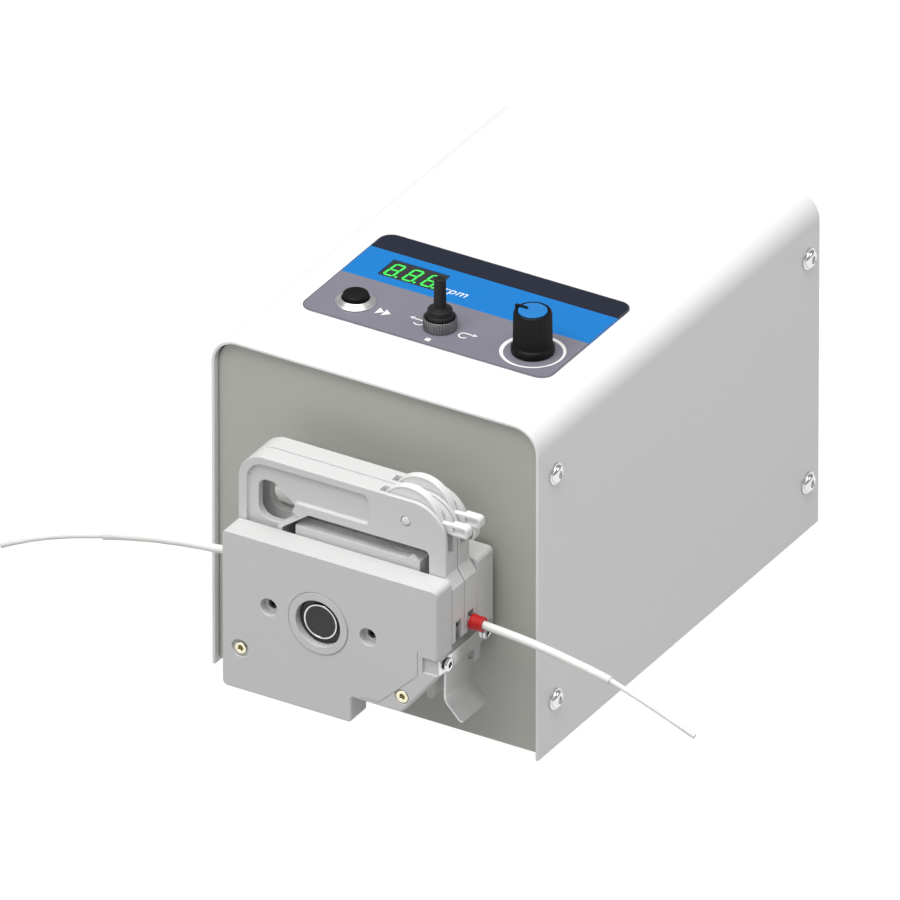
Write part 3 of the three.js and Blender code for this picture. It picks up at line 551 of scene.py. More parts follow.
dome = HEAD["dome"] * np.sin(np.linspace(math.pi / 2, 0.5, 7))
dome_height = 0.95 + (HEAD["top"] - 0.95) * np.cos(np.linspace(math.pi / 2, 0.5, 7)) / math.cos(0.5)
screw_head = turned([
    (1.6, -5), (1.6, 0), (3.85, 0), (HEAD["rim"], 0.15), (HEAD["rim"], 0.6), (3.85, 0.78), (3.5, 0.82),
    (HEAD["dome"], 0.86), *zip(dome, dome_height), (HEAD["socket"] + 0.2, HEAD["top"] + 0.03),
])
socket = turned([(HEAD["socket"], 1.0), (HEAD["socket"], 2.15), (HEAD["socket"] + 0.3, 2.45), (HEAD["socket"] + 0.3, 4)], 6)
screw_head = carved(screw_head, socket)
for side, side_name, axis in ((-1, "left", "-x"), (1, "right", "x")):
    for y, end in zip(SCREW_Y, ("front", "rear")):
        for z, level in zip(SCREW_Z, ("low", "high")):
            name = f"{side_name}_{end}_{level}"
            piece(f"cover_screw_{name}", laid(screw_head, axis, (side * CASE_HALF, y, z)), chrome,
                  nodes=[f"side_screw_{name}"], sharp=35)
        x = side * 48.0
        foot_profile = [(4.2, -3.6), (4.6, -4.8), (5.9, -5), (6.3, -4.7), (6.5, -3.4), (6.7, -3.2), (6.8, -1), (7.2, 0.6),
                        (7.2, 1.6)]
        piece(f"rubber_foot_{end}_{side_name}", laid(turned(foot_profile), "z", (x, 20 if end == "front" else 168, 0)),
              foot_rubber, nodes=[f"foot_{end}_{side_name}"])

# ---- control overlay ------------------------------------------------------------------------
# A printed polyester film glued on the top: a grey, a blue and a navy band inside a thin dark
# line, and white marks printed over them: arrows, a square, the knob's ring and the unit.
FILM_LOW = 130.05
SKIN = 130.45
FILM = {"x": 49.5, "y": (31.5, 91.0), "corner": 5.0}
BAND_Y = (60.2, 80.0)
INK = 0.04


def bands_group():
    """Three bands of colour along Y: the second replaces the first above one station, and the
    third replaces the second above another."""
    group, given, made = node_group("bands", [
        ("Low Colour", "Color", (1, 1, 1, 1)), ("Middle Colour", "Color", (1, 1, 1, 1)),
        ("High Colour", "Color", (1, 1, 1, 1)), ("First Station", "Float", 0.0), ("Second Station", "Float", 0.0),
    ], [("Colour", "Color")])
    new, link = group.nodes.new, group.links.new
    split = new("ShaderNodeSeparateXYZ")
    link(new("ShaderNodeTexCoord").outputs["Object"], split.inputs[0])
    colour = given.outputs["Low Colour"]
    for station, following in (("First Station", "Middle Colour"), ("Second Station", "High Colour")):
        above = new("ShaderNodeMath")
        above.operation = "GREATER_THAN"
        link(split.outputs["Y"], above.inputs[0])
        link(given.outputs[station], above.inputs[1])
        mix = new("ShaderNodeMix")
        mix.data_type = "RGBA"
        link(above.outputs[0], mix.inputs["Factor"])
        link(colour, mix.inputs["A"])
        link(given.outputs[following], mix.inputs["B"])
        colour = mix.outputs["Result"]
    link(colour, made.inputs["Colour"])
    return group


def stroke(route, width, ends=4):
    """The outline of a line of even width: the route moved to both sides by half the width, and
    joined by half circles round its two ends."""
    p = np.array(route, float)
    along = np.gradient(p, axis=0)
    along /= np.linalg.norm(along, axis=1)[:, None]
    across = np.column_stack([-along[:, 1], along[:, 0]])
    angle = np.linspace(-math.pi / 2, math.pi / 2, ends + 2)[1:-1, None]
    cap_far = p[-1] + width / 2 * (np.cos(angle) * along[-1] - np.sin(angle) * across[-1])
    cap_near = p[0] + width / 2 * (np.sin(angle) * across[0] - np.cos(angle) * along[0])
    return np.vstack([p + across * width / 2, cap_far, (p - across * width / 2)[::-1], cap_near])


def together(*shapes):
    """Separate closed shapes in one mesh."""
    starts = np.cumsum([0] + [len(points) for points, _ in shapes])
    faces = [[int(start) + v for v in face] for start, (_, part) in zip(starts, shapes) for face in part]
    return np.vstack([points for points, _ in shapes]), faces


film = finish("printed_film", (0.2, 0.2, 0.2), 0.42, mottling=0.04, spread=0.05, grains=1500.0, depth=0.012,
              Specular_IOR_Level=0.2)
bands = film.node_tree.nodes.new("ShaderNodeGroup")
bands.node_tree = bands_group()
bands.inputs["Low Colour"].default_value = (0.200, 0.194, 0.235, 1)
bands.inputs["Middle Colour"].default_value = (0.006, 0.180, 0.53, 1)
bands.inputs["High Colour"].default_value = (0.012, 0.015, 0.030, 1)
bands.inputs["First Station"].default_value = (BAND_Y[0] + DATUM[1]) * MM
bands.inputs["Second Station"].default_value = (BAND_Y[1] + DATUM[1]) * MM
surface = next(n for n in film.node_tree.nodes if n.type == "GROUP" and n.node_tree == GRAIN)
film.node_tree.links.new(bands.outputs["Colour"], surface.inputs["Colour"])
white_ink = finish("white_ink", (0.85, 0.85, 0.85), 0.45, mottling=0.04, grains=2500.0, depth=0.004)
dark_ink = finish("dark_ink", (0.09, 0.09, 0.11), 0.4, mottling=0.1, grains=2500.0, depth=0.004)


def film_outline(inset):
    """The film's outline, with its corners rounded, moved inwards."""
    x, (y0, y1), r = FILM["x"] - inset, FILM["y"], FILM["corner"] - inset
    y0, y1 = y0 + inset, y1 - inset
    return rounded([(-x, y0, r), (x, y0, r), (x, y1, r), (-x, y1, r)], 8)


film_shape = plate(film_outline(0), FILM_LOW, SKIN, 0.0, 0.08, plane="XY")
piece("overlay_film", carved(film_shape, *control_holes(FILM_LOW, SKIN, 0)), film,
      nodes=["control_overlay"])
border = carved(plate(film_outline(0.15), SKIN, SKIN + INK / 2, 0, plane="XY"),
                plate(film_outline(0.4), SKIN - 1, SKIN + 1, 0, plane="XY"))
piece("overlay_border", border, dark_ink)

TURN_BACK = [(-11.0, 44.9), (-10.4, 44.75), (-8.4, 44.7), (-7.2, 44.6), (-6.4, 44.0), (-6.1, 42.8), (-6.8, 41.7),
             (-8.2, 41.4), (-9.4, 42.0)]
TURN_FORE = [(12.7, 44.75), (11.8, 44.65), (9.9, 44.75), (8.7, 44.5), (8.1, 43.4), (8.3, 42.2), (9.3, 41.5),
             (10.4, 41.55), (11.1, 42.2)]
marks = [stroke(smooth_route(route, 5), 0.55) for route in (TURN_BACK, TURN_FORE)]
marks += [
    [(-12.6, 44.9), (-10.9, 44.0), (-10.9, 45.9)], [(14.3, 44.8), (12.6, 45.75), (12.6, 43.85)],
    [(-24.4, 40.7), (-21.9, 43.0), (-24.4, 45.0)], [(-21.8, 40.7), (-19.2, 43.0), (-21.8, 45.0)],
    [(-0.35, 33.55), (1.55, 33.55), (1.55, 35.45), (-0.35, 35.45)],
]
ink_shapes = [plate(mark, SKIN, SKIN + INK, 0, plane="XY") for mark in marks]
ring_hole = plate(circle(KNOB[0] + 0.35, KNOB[1] - 0.35, 10.3, 96), SKIN - 1, SKIN + 1, 0, plane="XY")
ink_shapes.append(carved(plate(circle(*KNOB, 11.48, 96), SKIN, SKIN + INK, 0, plane="XY"), ring_hole))
piece("overlay_marks", together(*ink_shapes), white_ink)

unit = bpy.data.curves.new("unit", "FONT")
unit.body = "rpm"
unit.size, unit.shear, unit.extrude, unit.space_character = 5.6, 0.22, INK / 2, 1.05
lettering = bpy.data.objects.new("unit", unit)
scene.collection.objects.link(lettering)
letters = bpy.data.meshes.new_from_object(lettering.evaluated_get(bpy.context.evaluated_depsgraph_get()))
letters.transform(Matrix.Translation((-12.6, 65.4, SKIN + INK / 2)))
letters.transform(Matrix.Translation(DATUM.tolist()))
letters.transform(Matrix.Scale(MM, 4))
letters.materials.clear()
letters.materials.append(white_ink)
bpy.data.objects.remove(lettering)
unit_print = bpy.data.objects.new("overlay_unit", letters)
scene.collection.objects.link(unit_print)
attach(unit_print, "root")

# ---- display --------------------------------------------------------------------------------
# Three seven-segment digits glow green behind a smoked acrylic window that fills the cut-out.
# Each digit leans to the right and has its point lit.
GLASS = 130.3
DIGIT = {"at": (-33.6, -26.26, -18.92), "low": 65.5, "tall": 8.6, "wide": 4.4, "line": 0.82, "lean": 0.105}

smoked = finish("smoked_acrylic", (0.008, 0.010, 0.009), 0.16, mottling=0.2, spread=0.03, grains=400.0, depth=0.002,
                Coat_Weight=0.6, Coat_Roughness=0.05)
green_light = finish("green_light", (0.02, 0.35, 0.03), 0.4, mottling=0.08, grains=3000.0, depth=0.002,
                     Emission_Color=(0.05, 0.85, 0.12, 1.0), Emission_Strength=0.85)

(window_x0, window_x1), (window_y0, window_y1) = WINDOW
glass_outline = rounded([(window_x0 + 0.1, window_y0 + 0.1, 0.4), (window_x1 - 0.1, window_y0 + 0.1, 0.4),
                         (window_x1 - 0.1, window_y1 - 0.1, 0.4), (window_x0 + 0.1, window_y1 - 0.1, 0.4)], 3)
back_outline = rounded([(window_x0 - 2, window_y0 - 3, 0.6), (window_x1 + 2, window_y0 - 3, 0.6),
                        (window_x1 + 2, window_y1 + 3, 0.6), (window_x0 - 2, window_y1 + 3, 0.6)], 2)
module = joined(plate(back_outline, 119, 128.5, 0.2, plane="XY"), plate(glass_outline, 128, GLASS, 0, 0.12, plane="XY"))
piece("display_window", module, smoked, nodes=["display_module"])


def bar_outline(x, y, long, wide, upright):
    """A six-sided segment: a bar of a length and a width with both ends cut to points."""
    half, tip = long / 2, wide / 2
    made = np.array([(-half, 0), (-half + tip, -tip), (half - tip, -tip), (half, 0), (half - tip, tip), (-half + tip, tip)])
    return (made[:, ::-1] if upright else made) + (x, y)


segments = []
reach, wide, line = DIGIT["tall"] - DIGIT["line"], DIGIT["wide"] - DIGIT["line"], DIGIT["line"]
for x in DIGIT["at"]:
    low = DIGIT["low"] + line / 2
    for k in range(3):
        segments.append(bar_outline(x, low + k * reach / 2, wide - 0.12, line, False))
    for k in range(2):
        for side in (-1, 1):
            segments.append(bar_outline(x + side * wide / 2, low + (k + 0.5) * reach / 2, reach / 2 - 0.12, line, True))
    segments.append(circle(x + 3.1, 66.0, 0.55, 12))
middle_y = DIGIT["low"] + DIGIT["tall"] / 2
leaning = [np.column_stack([s[:, 0] + (s[:, 1] - middle_y) * DIGIT["lean"], s[:, 1]]) for s in segments]
piece("display_digits", together(*[plate(s, GLASS, GLASS + 0.03, 0, plane="XY") for s in leaning]), green_light)

# ---- push-button ----------------------------------------------------------------------------
# A chromed brass bezel with a finely knurled rim, screwed through the panel from above, round a
# black moulded cap with a shallow dish in its top.
satin_chrome = finish("satin_chrome", (0.86, 0.86, 0.86), 0.34, 1.0, mottling=0.02, spread=0.06, grains=2500.0,
                      depth=0.004)
black_plastic = finish("black_plastic", (0.003, 0.003, 0.003), 0.45, mottling=0.1, grains=2200.0, depth=0.012,
                       Specular_IOR_Level=0.2)


def rippled(profile, count, depth, rows, sides=None, looped=False):
    """A turned profile whose rows named have their radius waved: radius + depth cos(count a)."""
    radius, height = np.array(profile, float).T
    sides = sides or count * 4
    angle = np.linspace(0, 2 * np.pi, sides, endpoint=False)
    wave = np.isin(np.arange(len(radius)), rows)[:, None] * depth * np.cos(count * angle)
    r = radius[:, None] + wave
    return lofted(np.stack([r * np.cos(angle), r * np.sin(angle), np.broadcast_to(height[:, None], r.shape)], -1), looped)


bezel_profile = [(4.9, -12), (5.7, -12), (5.7, 0.05), (7.0, 0.05), (7.15, 0.12), (7.15, 0.42), (7.05, 0.55), (6.75, 0.7),
                 (6.1, 1.15), (5.6, 1.75), (5.3, 2.0), (5.05, 2.05), (4.92, 1.9)]
piece("button_ring", laid(rippled(bezel_profile, 72, 0.07, [4, 5], looped=True), "z", (*BUTTON, SKIN)), satin_chrome,
      nodes=["button_bezel"], sharp=50)
cap_profile = [(4.5, -7), (4.6, -6.9), (4.6, 3.0), (4.52, 3.35), (4.3, 3.6), (4.0, 3.7), (3.6, 3.68), (2.6, 3.58), (1.2, 3.5),
               (0.3, 3.48)]
piece("button_dome", laid(turned(cap_profile), "z", (*BUTTON, SKIN)), black_plastic, "button",
      ["button_cap"])

# ---- toggle switch --------------------------------------------------------------------------
# A dark plated dress nut with cut flutes holds the switch under the panel. A rubber boot covers
# its bat: a stepped skirt tucked in the nut, a shoulder, and a close sleeve up to the tip.
dark_plate = finish("dark_plated_nut", (0.27, 0.27, 0.265), 0.36, 1.0, mottling=0.1, spread=0.1, grains=2500.0,
                    depth=0.006)
boot_rubber = finish("boot_rubber", (0.009, 0.009, 0.010), 0.55, mottling=0.15, grains=2600.0, depth=0.02,
                     Specular_IOR_Level=0.28)
nut_profile = [(3.4, 0.05), (5.7, 0.05), (5.82, 0.2), (5.82, 0.9), (5.78, 1.1), (5.82, 1.3), (5.82, 4.3), (5.74, 4.4),
               (5.6, 4.42), (5.4, 4.4), (5.35, 4.2), (5.35, 0.9), (3.4, 0.9)]
piece("toggle_dress_nut", laid(rippled(nut_profile, 40, 0.12, [5, 6], 320, True), "z", (*TOGGLE, SKIN)), dark_plate,
      nodes=["toggle_nut"], sharp=50)
boot_profile = [(2.2, 2.5), (4.85, 2.5), (4.98, 2.65), (5.0, 3.6), (5.02, 4.6), (4.98, 5.1), (4.8, 5.5), (4.52, 5.72),
                (4.42, 5.85), (4.42, 6.9), (4.32, 7.35), (4.05, 7.65), (3.4, 7.85), (2.7, 8.0), (2.35, 8.25), (2.24, 8.8),
                (2.18, 11), (2.12, 15), (2.1, 18.6), (2.02, 19.1), (1.8, 19.45), (1.4, 19.58), (0.4, 19.62)]
piece("toggle_rubber", laid(turned(boot_profile, 40), "z", (*TOGGLE, SKIN)), boot_rubber, "toggle",
      ["toggle_boot"])

# ---- speed knob -----------------------------------------------------------------------------
# A black fluted knob on the potentiometer's shaft, with a skirt at its foot. A blue cap is
# pressed into its top, and a fin over the rim points to the setting.
KNOB_TOP = 16.1
blue_plastic = finish("blue_plastic", (0.008, 0.185, 0.52), 0.42, mottling=0.03, grains=1800.0, depth=0.01)

body_rows = [(3.2, 0.4), (7.5, 0.4), (7.6, 0.55), (7.6, 2.0), (7.45, 2.6), (7.1, 2.95), (6.85, 3.15), (6.75, 3.4),
             (6.55, 15.3), (6.4, 15.8), (6.1, 16.05), (5.75, 16.1), (5.5, 16.0), (5.45, 15.8), (5.45, 15.1), (0.6, 15.1),
             (0.6, 11.3), (3.2, 11.3)]
knob_body = rippled(body_rows, 40, 0.14, [7, 8], 320, True)
fin_rows = rounded([(-7.0, 15.3), (-6.9, 16.9, 0.5), (-2.2, 16.9, 0.5), (-2.0, 15.3)], 4)
knob_fin = plate(fin_rows, -0.45, 0.45, 0.2)
piece("speed_knob_body", laid(joined(knob_body, knob_fin), "z", (*KNOB, SKIN)), black_plastic, "knob",
      ["speed_knob"], sharp=35)
cap_rows = [(4.95, 15.3), (5.1, 15.4), (5.1, 16.15), (4.9, 16.3), (3.0, 16.36), (0.4, 16.4)]
cap_slot = plate(np.array([(-8, -0.6), (-1.8, -0.6), (-1.8, 0.6), (-8, 0.6)]), 15, 18, 0, plane="XY")
piece("knob_blue_disc", laid(carved(turned(cap_rows), cap_slot), "z", (*KNOB, SKIN)), blue_plastic, "knob",
      ["knob_cap"])

# ---- mains inlet and power switch -----------------------------------------------------------
# Moulded black parts snapped into the rear panel: a three-pin inlet with nickel blades, and a
# rocker switch.
INLET = (22.0, 34.0)
SWITCH = (-12.0, 34.0)
REAR = 187.5
nickel = finish("nickel_blades", (0.62, 0.60, 0.55), 0.25, 1.0, grains=2500.0, depth=0.004)
for node, body in (("power_inlet", "root"), ("power_switch", "root"), ("power_rocker", "rocker")):
    piece(f"moulded_{node}", tidied(node), black_plastic, body, [node], bevel=0.3)
blades = []
for x, z in ((-7.0, -1.0), (0.0, 3.0), (7.0, -1.0)):
    outline = rounded([(INLET[0] + x - 1, INLET[1] + z - 2, 0.3), (INLET[0] + x + 1, INLET[1] + z - 2, 0.3),
                       (INLET[0] + x + 1, INLET[1] + z + 2, 0.3), (INLET[0] + x - 1, INLET[1] + z + 2, 0.3)], 2)
    blades.append(plate(outline, REAR - 16, REAR - 3, 0, 0.5))
piece("inlet_blades", together(*blades), nickel)

# ---- inside the casing ----------------------------------------------------------------------
# The gearmotor hangs on the front panel behind the head. The control board stands on posts, the
# power supply is a folded steel box, and the controls' bodies hang under the top.
zinc = finish("zinc_plate", (0.52, 0.53, 0.54), 0.38, 1.0, mottling=0.12, spread=0.12, grains=900.0, depth=0.006)
motor_steel = finish("motor_steel", (0.42, 0.42, 0.43), 0.34, 1.0, mottling=0.06, spread=0.1, grains=1500.0, depth=0.004)
board_green = finish("circuit_board", (0.015, 0.11, 0.045), 0.4, mottling=0.25, grains=700.0, depth=0.02)
for node, material, slot, rounding in (
    ("motor", motor_steel, "motor_steel", 0.4), ("control_board", board_green, "board_green", 0.15),
    ("power_supply", zinc, "zinc_steel", 0.3), ("potentiometer", zinc, "zinc_steel", 0.2),
    ("toggle_body", black_plastic, "control_black", 0.2), ("head_adapter", zinc, "zinc_steel", 0.3),
):
    piece(f"fitted_{node}", tidied(node), material, nodes=[node], bevel=rounding)

# ---- pump head plates -----------------------------------------------------------------------
# Two thick plates moulded in light grey, lightly grained, with soft front edges and crisp tops.
# The front one has a raised ring round its bearing, counterbored fixings and two rod recesses.
AXIS = 54.2
FRONT_PLATE = (-37.7, -27.4)
REAR_PLATE = (-10.7, 0.0)
HEAD_TOP = 80.0
ROD_LEFT = (-31.1, 35.2)
ROD_RIGHT = (33.1, 35.1)
FRONT_EDGE = 0.9

head_grey = finish("head_grey", (0.635, 0.635, 0.63), 0.5, mottling=0.025, spread=0.05, grains=1100.0, depth=0.06)
head_outline = rounded([(-38.4, 18.7, 2), (13, 18.7, 1.5), (13, 28.8, 1), (33, 28.8, 1.2), (47, 46.4, 1.2),
                        (47, HEAD_TOP, 2), (-38.4, HEAD_TOP, 2)], 6)
head_edge = np.where(head_outline[:, 1] > HEAD_TOP - 0.8, 0.3, FRONT_EDGE)

(front, front_back) = FRONT_PLATE
boss = laid(turned([(11.2, -1.0), (11.9, -1.0), (11.9, 0.1), (11.8, 0.24), (11.6, 0.3), (9.3, 0.3)], 96), "-y", (0, front, AXIS))
front_tools = [
    opening(circle(0, AXIS, 8.85, 72), front - 0.3, front_back, 0.2),
    pocket(circle(0, AXIS, 15.6, 72), front_back, front_back - 2.8),
    laid(turned([(11.6, -0.35), (12.0, -0.35), (12.0, 1.0), (11.6, 1.0)], 96, True), "-y", (0, front, AXIS)),
    plate(np.array([(41.3, 47.1), (48.5, 47.1), (48.5, 53.2), (41.3, 53.2)]), front - 1, front + 1.1, 0),
    pocket(circle(*ROD_LEFT, 3.3), front, front + 1, 0.25), pocket(circle(*ROD_RIGHT, 2.75), front, front + 1, 0.2),
    *[plate(circle(*rod, 2.2, 32), front, front_back + 1, 0) for rod in (ROD_LEFT, ROD_RIGHT)],
    *[pocket(circle(x, 54.7, 3.2), front, front + 3, 0.45) for x in (-19.7, 19.7)],
    *[plate(circle(x, 54.7, 1.85, 32), front + 1, front + 9, 0) for x in (-19.7, 19.7)],
    plate(stroke([(16.5, 30.1), (23.4, 30.35), (24.75, 30.9), (39.1, 44.9), (39.4, 45.6), (39.4, 54.6)], 0.3, 2), front - 1,
          front + 0.3, 0),
]
front_blank = joined(plate(head_outline, front, front_back, head_edge, 0.3), boss)
piece("head_front_plate", carved(front_blank, *front_tools), head_grey, nodes=["front_plate"], sharp=30)

# Black oxide for the head's set screws; the same black also serves as painted shade in the strap screws' sockets.
black_oxide_and_painted_shade = finish("black_oxide_and_painted_shade", (0.010, 0.010, 0.010), 0.5, 0.3, mottling=0.1, grains=2500.0, depth=0.006)
set_screw = carved(turned([(0.3, -5), (1.8, -5), (1.8, -0.2), (1.6, 0), (0.3, 0)], 32), turned([(0.85, -1.5), (0.85, 1)], 6))
for x, side_name in ((-19.7, "left"), (19.7, "right")):
    piece(f"head_fixing_{side_name}", laid(set_screw, "-y", (x, front + 3.3, 54.7)), black_oxide_and_painted_shade)

rear_tools = [
    opening(circle(0, AXIS, 5), *REAR_PLATE, 0.2),
    pocket(circle(0, AXIS, 15.6, 72), REAR_PLATE[0], REAR_PLATE[0] + 2.8),
    *[plate(circle(*rod, 2.2, 32), REAR_PLATE[0] - 1, REAR_PLATE[0] + 8, 0) for rod in (ROD_LEFT, ROD_RIGHT)],
]
lug = plate(rounded([(42.8, 37.4, 0.6), (44.6, 37.4, 0.9), (45.2, 46), (42.0, 44)], 4), -8.2, -4.8, 0.25)
rear_blank = joined(plate(head_outline, *REAR_PLATE, head_edge, 0.3), lug)
piece("head_rear_plate", carved(rear_blank, *rear_tools), head_grey, nodes=["rear_plate"], sharp=30)

# ---- tie rods -------------------------------------------------------------------------------
# Two brass rods hold the plates apart and carry the cartridges' hooks. Their tapped ends show in
# the front plate's recesses.
brass = finish("pale_brass", (0.84, 0.80, 0.60), 0.36, 1.0, mottling=0.05, spread=0.08, grains=2500.0, depth=0.004)
for rod, end_radius, name in ((ROD_LEFT, 2.2, "left"), (ROD_RIGHT, 2.35, "right")):
    rows = [(0.2, -28.3), (1.95, -28.3), (1.95, -8.2), (3.1, -8.2), (3.2, -8.1), (3.2, 8.0), (3.1, 8.1), (1.95, 8.1),
            (1.95, 18.2), (end_radius, 18.2), (end_radius, 18.55), (end_radius - 0.15, 18.7), (1.25, 18.7), (1.05, 18.5),
            (0.95, 18.3), (0.95, 15.0), (0.2, 15.0)]
    piece(f"brass_rod_{name}", laid(turned(rows, 40), "-y", (rod[0], -18.9, rod[1])), brass,
          nodes=[f"tie_rod_{name}"])

# ---- rotor ----------------------------------------------------------------------------------
# Two steel discs on one shaft carry six pins with a ground roller on each. The shaft's end shows
# in the front bearing as a bright ring round a black plug.
PITCH = 12.5
DISC_FACES = (-29.9, -27.7, -10.4, -8.2)  # the front disc's two faces and the rear disc's
roller_turns = (np.arange(6) + 0.5) * math.pi / 3
roller_places = np.column_stack([PITCH * np.cos(roller_turns), AXIS + PITCH * np.sin(roller_turns)])
steel = finish("turned_steel", (0.60, 0.60, 0.61), 0.26, 1.0, mottling=0.04, spread=0.08, grains=2000.0, depth=0.003)
ground = finish("ground_steel", (0.66, 0.66, 0.67), 0.16, 1.0, mottling=0.03, spread=0.05, grains=2500.0, depth=0.002)
bearing_black = finish("bearing_black", (0.012, 0.012, 0.012), 0.45, mottling=0.1, grains=1500.0, depth=0.006)
front_face, front_inner, rear_inner, rear_face = DISC_FACES
discs = turned([
    (0.3, -12), (3.6, -12), (3.9, -11.7), (3.9, -rear_face), (14.6, -rear_face), (15, -rear_face - 0.4),
    (15, -rear_inner + 0.3), (14.7, -rear_inner), (6.5, -rear_inner), (6.5, -front_inner), (14.7, -front_inner),
    (15, -front_inner - 0.3), (15, -front_face - 0.4), (14.6, -front_face), (3.9, -front_face), (3.9, 35.4),
    (3.7, 35.6), (0.3, 35.6),
], 96)
pin_rows = [(0.2, 7.7), (1.0, 7.7), (1.0, 30.4), (0.2, 30.4)]
pins = [laid(turned(pin_rows, 24), "-y", (x, 0, z)) for x, z in roller_places]
piece("rotor_discs", together(laid(discs, "-y", (0, 0, AXIS)), *pins), steel, "rotor", ["rotor"])
shaft_ring = [(5.95, -0.1), (6.5, -0.1), (6.6, 0.0), (6.6, 0.28), (6.5, 0.38), (6.05, 0.38), (5.95, 0.28)]
piece("shaft_ring", laid(turned(shaft_ring, 96, True), "-y", (0, -35.9, AXIS)), ground, "rotor")
plug = [(5.9, 0.02), (5.9, 0.2), (5.8, 0.28), (0.5, 0.28)]
piece("shaft_plug", laid(turned(plug, 96), "-y", (0, -35.9, AXIS)), bearing_black, "rotor")
seal = [(4.2, -4.7), (8.4, -4.7), (8.55, -4.55), (8.55, -0.15), (8.4, 0), (4.3, 0), (4.2, -0.1)]
piece("bearing_seal", laid(turned(seal, 96, True), "-y", (0, -35.4, AXIS)), bearing_black,
      nodes=["front_bearing"])
roller_rows = [(1.3, -7.95), (1.5, -8.2), (3.2, -8.2), (3.5, -7.9), (3.5, 7.9), (3.2, 8.2), (1.5, 8.2), (1.3, 7.95)]
for i, (x, z) in enumerate(roller_places):
    piece(f"ground_roller_{i + 1}", laid(turned(roller_rows, 40, True), "-y", (x, -19.05, z)), ground, f"roller_{i + 1}",
          [f"roller_{i + 1}"])

# ---- cartridges -----------------------------------------------------------------------------
# Two moulded loops side by side: a hook round the left rod, a leg, a handle bar with a sunk face
# and a finger window, and an arm slotted for the pressure lever. Red stops grip the tubing.
CARTRIDGE = 7.75
CARTRIDGES = {"front": -27.1, "rear": -18.9}
PIN = (28.4, 97.8)
cartridge_grey = finish("cartridge_grey", (0.65, 0.65, 0.645), 0.38, mottling=0.02, spread=0.05, grains=1700.0,
                        depth=0.010)
loop = rounded([
    (-38, 106, 10), (44.3, 106, 13), (44.3, 80.2, 0.5), (47.1, 75.9, 0.5), (47.1, 54.5, 0.4), (37.6, 54.5, 0.4),
    (37.6, 88.4, 2), (-10.2, 88.4, 0.6), (-20.6, 80.8, 0.6), (-20.6, 44, 2), (-24.2, 40, 2), (-24.2, 29.5, 1.8),
    (-34.1, 29.5, 0.4), (-34.1, 31.7), (-31.1, 31.7), (-31.1, 38.7), (-38, 38.7, 0.4),
], 8)
finger_window = rounded([(-30.8, 96.6, 3.4), (-24.6, 96.6, 2), (-15.6, 89.2, 1), (-14.6, 87.4, 0.4), (-22.3, 81.4, 2.5),
                         (-30.8, 81.4, 5)], 8)
sunk_face = rounded([(-34.7, 103.1, 7), (13.6, 103.1, 2.5), (13.6, 91.8, 1.2), (-15.1, 91.8, 1.2), (-16.9, 88.2),
                     (-14.2, 86.4), (-22.3, 80.2), (-22.3, 68), (-34.7, 68)], 8)
hollow_back = rounded([(-34.7, 103.1, 7), (13.6, 103.1, 2.5), (13.6, 91.8, 1.2), (-9.3, 91.8, 1), (-19.4, 84.4, 1),
                       (-23.0, 78, 1), (-34.7, 78, 2)], 8)


def block(x, y, z):
    """A square-edged cutter between two corners."""
    return plate(np.array([(x[0], z[0]), (x[1], z[0]), (x[1], z[1]), (x[0], z[1])], float), *y, 0)


for end, y in CARTRIDGES.items():
    back, middle = y + CARTRIDGE, y + CARTRIDGE / 2
    tools = [
        pocket(sunk_face, y, y + 1.4, 0.3, 0.9),
        pocket(hollow_back, back, back - 3.3, 0.25, 0.4),
        opening(finger_window, y + 1.4, back - 3.3, 0.3),
        opening(circle(*ROD_LEFT, 3.5), y, back, 0.25),
        plate(circle(*PIN, 2.0, 40), y - 1, back - 1, 0),
        block((17.1, 50), (y + 1.5, y + 5.1), (87.9, 120)),
        block((15.8, 39.5), (y + 1.5, y + 5.1), (86, 103.5)),
        block((-40, -18), (middle - 1.9, middle + 1.9), (28, 62.3)),
        block((36, 49), (middle - 1.9, middle + 1.9), (50, 62.3)),
        block((41.4, 46), (y - 1, back + 1), (50, 60)),
    ]
    piece(f"cartridge_loop_{end}", carved(plate(loop, y, back, 0.28), *tools), cartridge_grey, f"cartridge_{end}",
          [f"cartridge_{end}"], sharp=30)

# ---- pressure beds --------------------------------------------------------------------------
# The sliding block under each lever, moulded in a coarser grained grey: its lower face is the
# curved track. A small tooth stands at its right, in front of a rack of saw teeth.
bed_grey = finish("bed_grey", (0.66, 0.66, 0.655), 0.55, mottling=0.04, spread=0.05, grains=1100.0, depth=0.09)
bed_outline = np.array([(-15.7, 60), (14, 60), (22, 67.5), (33.7, 70.5), (33.7, 83), (-15.7, 83)])
tooth_outline = np.array([(28.7, 82.4), (33.7, 82.4), (33.7, 83), (31, 85.2), (28.7, 83)])
steps_x = np.arange(18.5, 28.0, 0.95)
rack_outline = np.vstack([
    [(18.2, 82.5)], np.column_stack([np.repeat(steps_x, 2), np.tile([83.0, 83.55], len(steps_x))])
    + np.tile([[0, 0], [0.1, 0]], (len(steps_x), 1)), [(28.2, 83.0), (28.2, 82.5)],
])
for end, y in CARTRIDGES.items():
    low, high = y + 0.55, y + CARTRIDGE - 0.55
    block_shape = carved(plate(bed_outline, low, high, 0.3), plate(circle(0, AXIS, 18.4, 96), low - 1, high + 1, 0))
    block_shape = joined(block_shape, plate(tooth_outline, low + 0.02, low + 0.72, 0.08),
                         plate(rack_outline, high - 2.6, high - 0.1, 0))
    piece(f"pressure_block_{end}", block_shape, bed_grey, f"bed_{end}", [f"pressure_bed_{end}"], sharp=30)
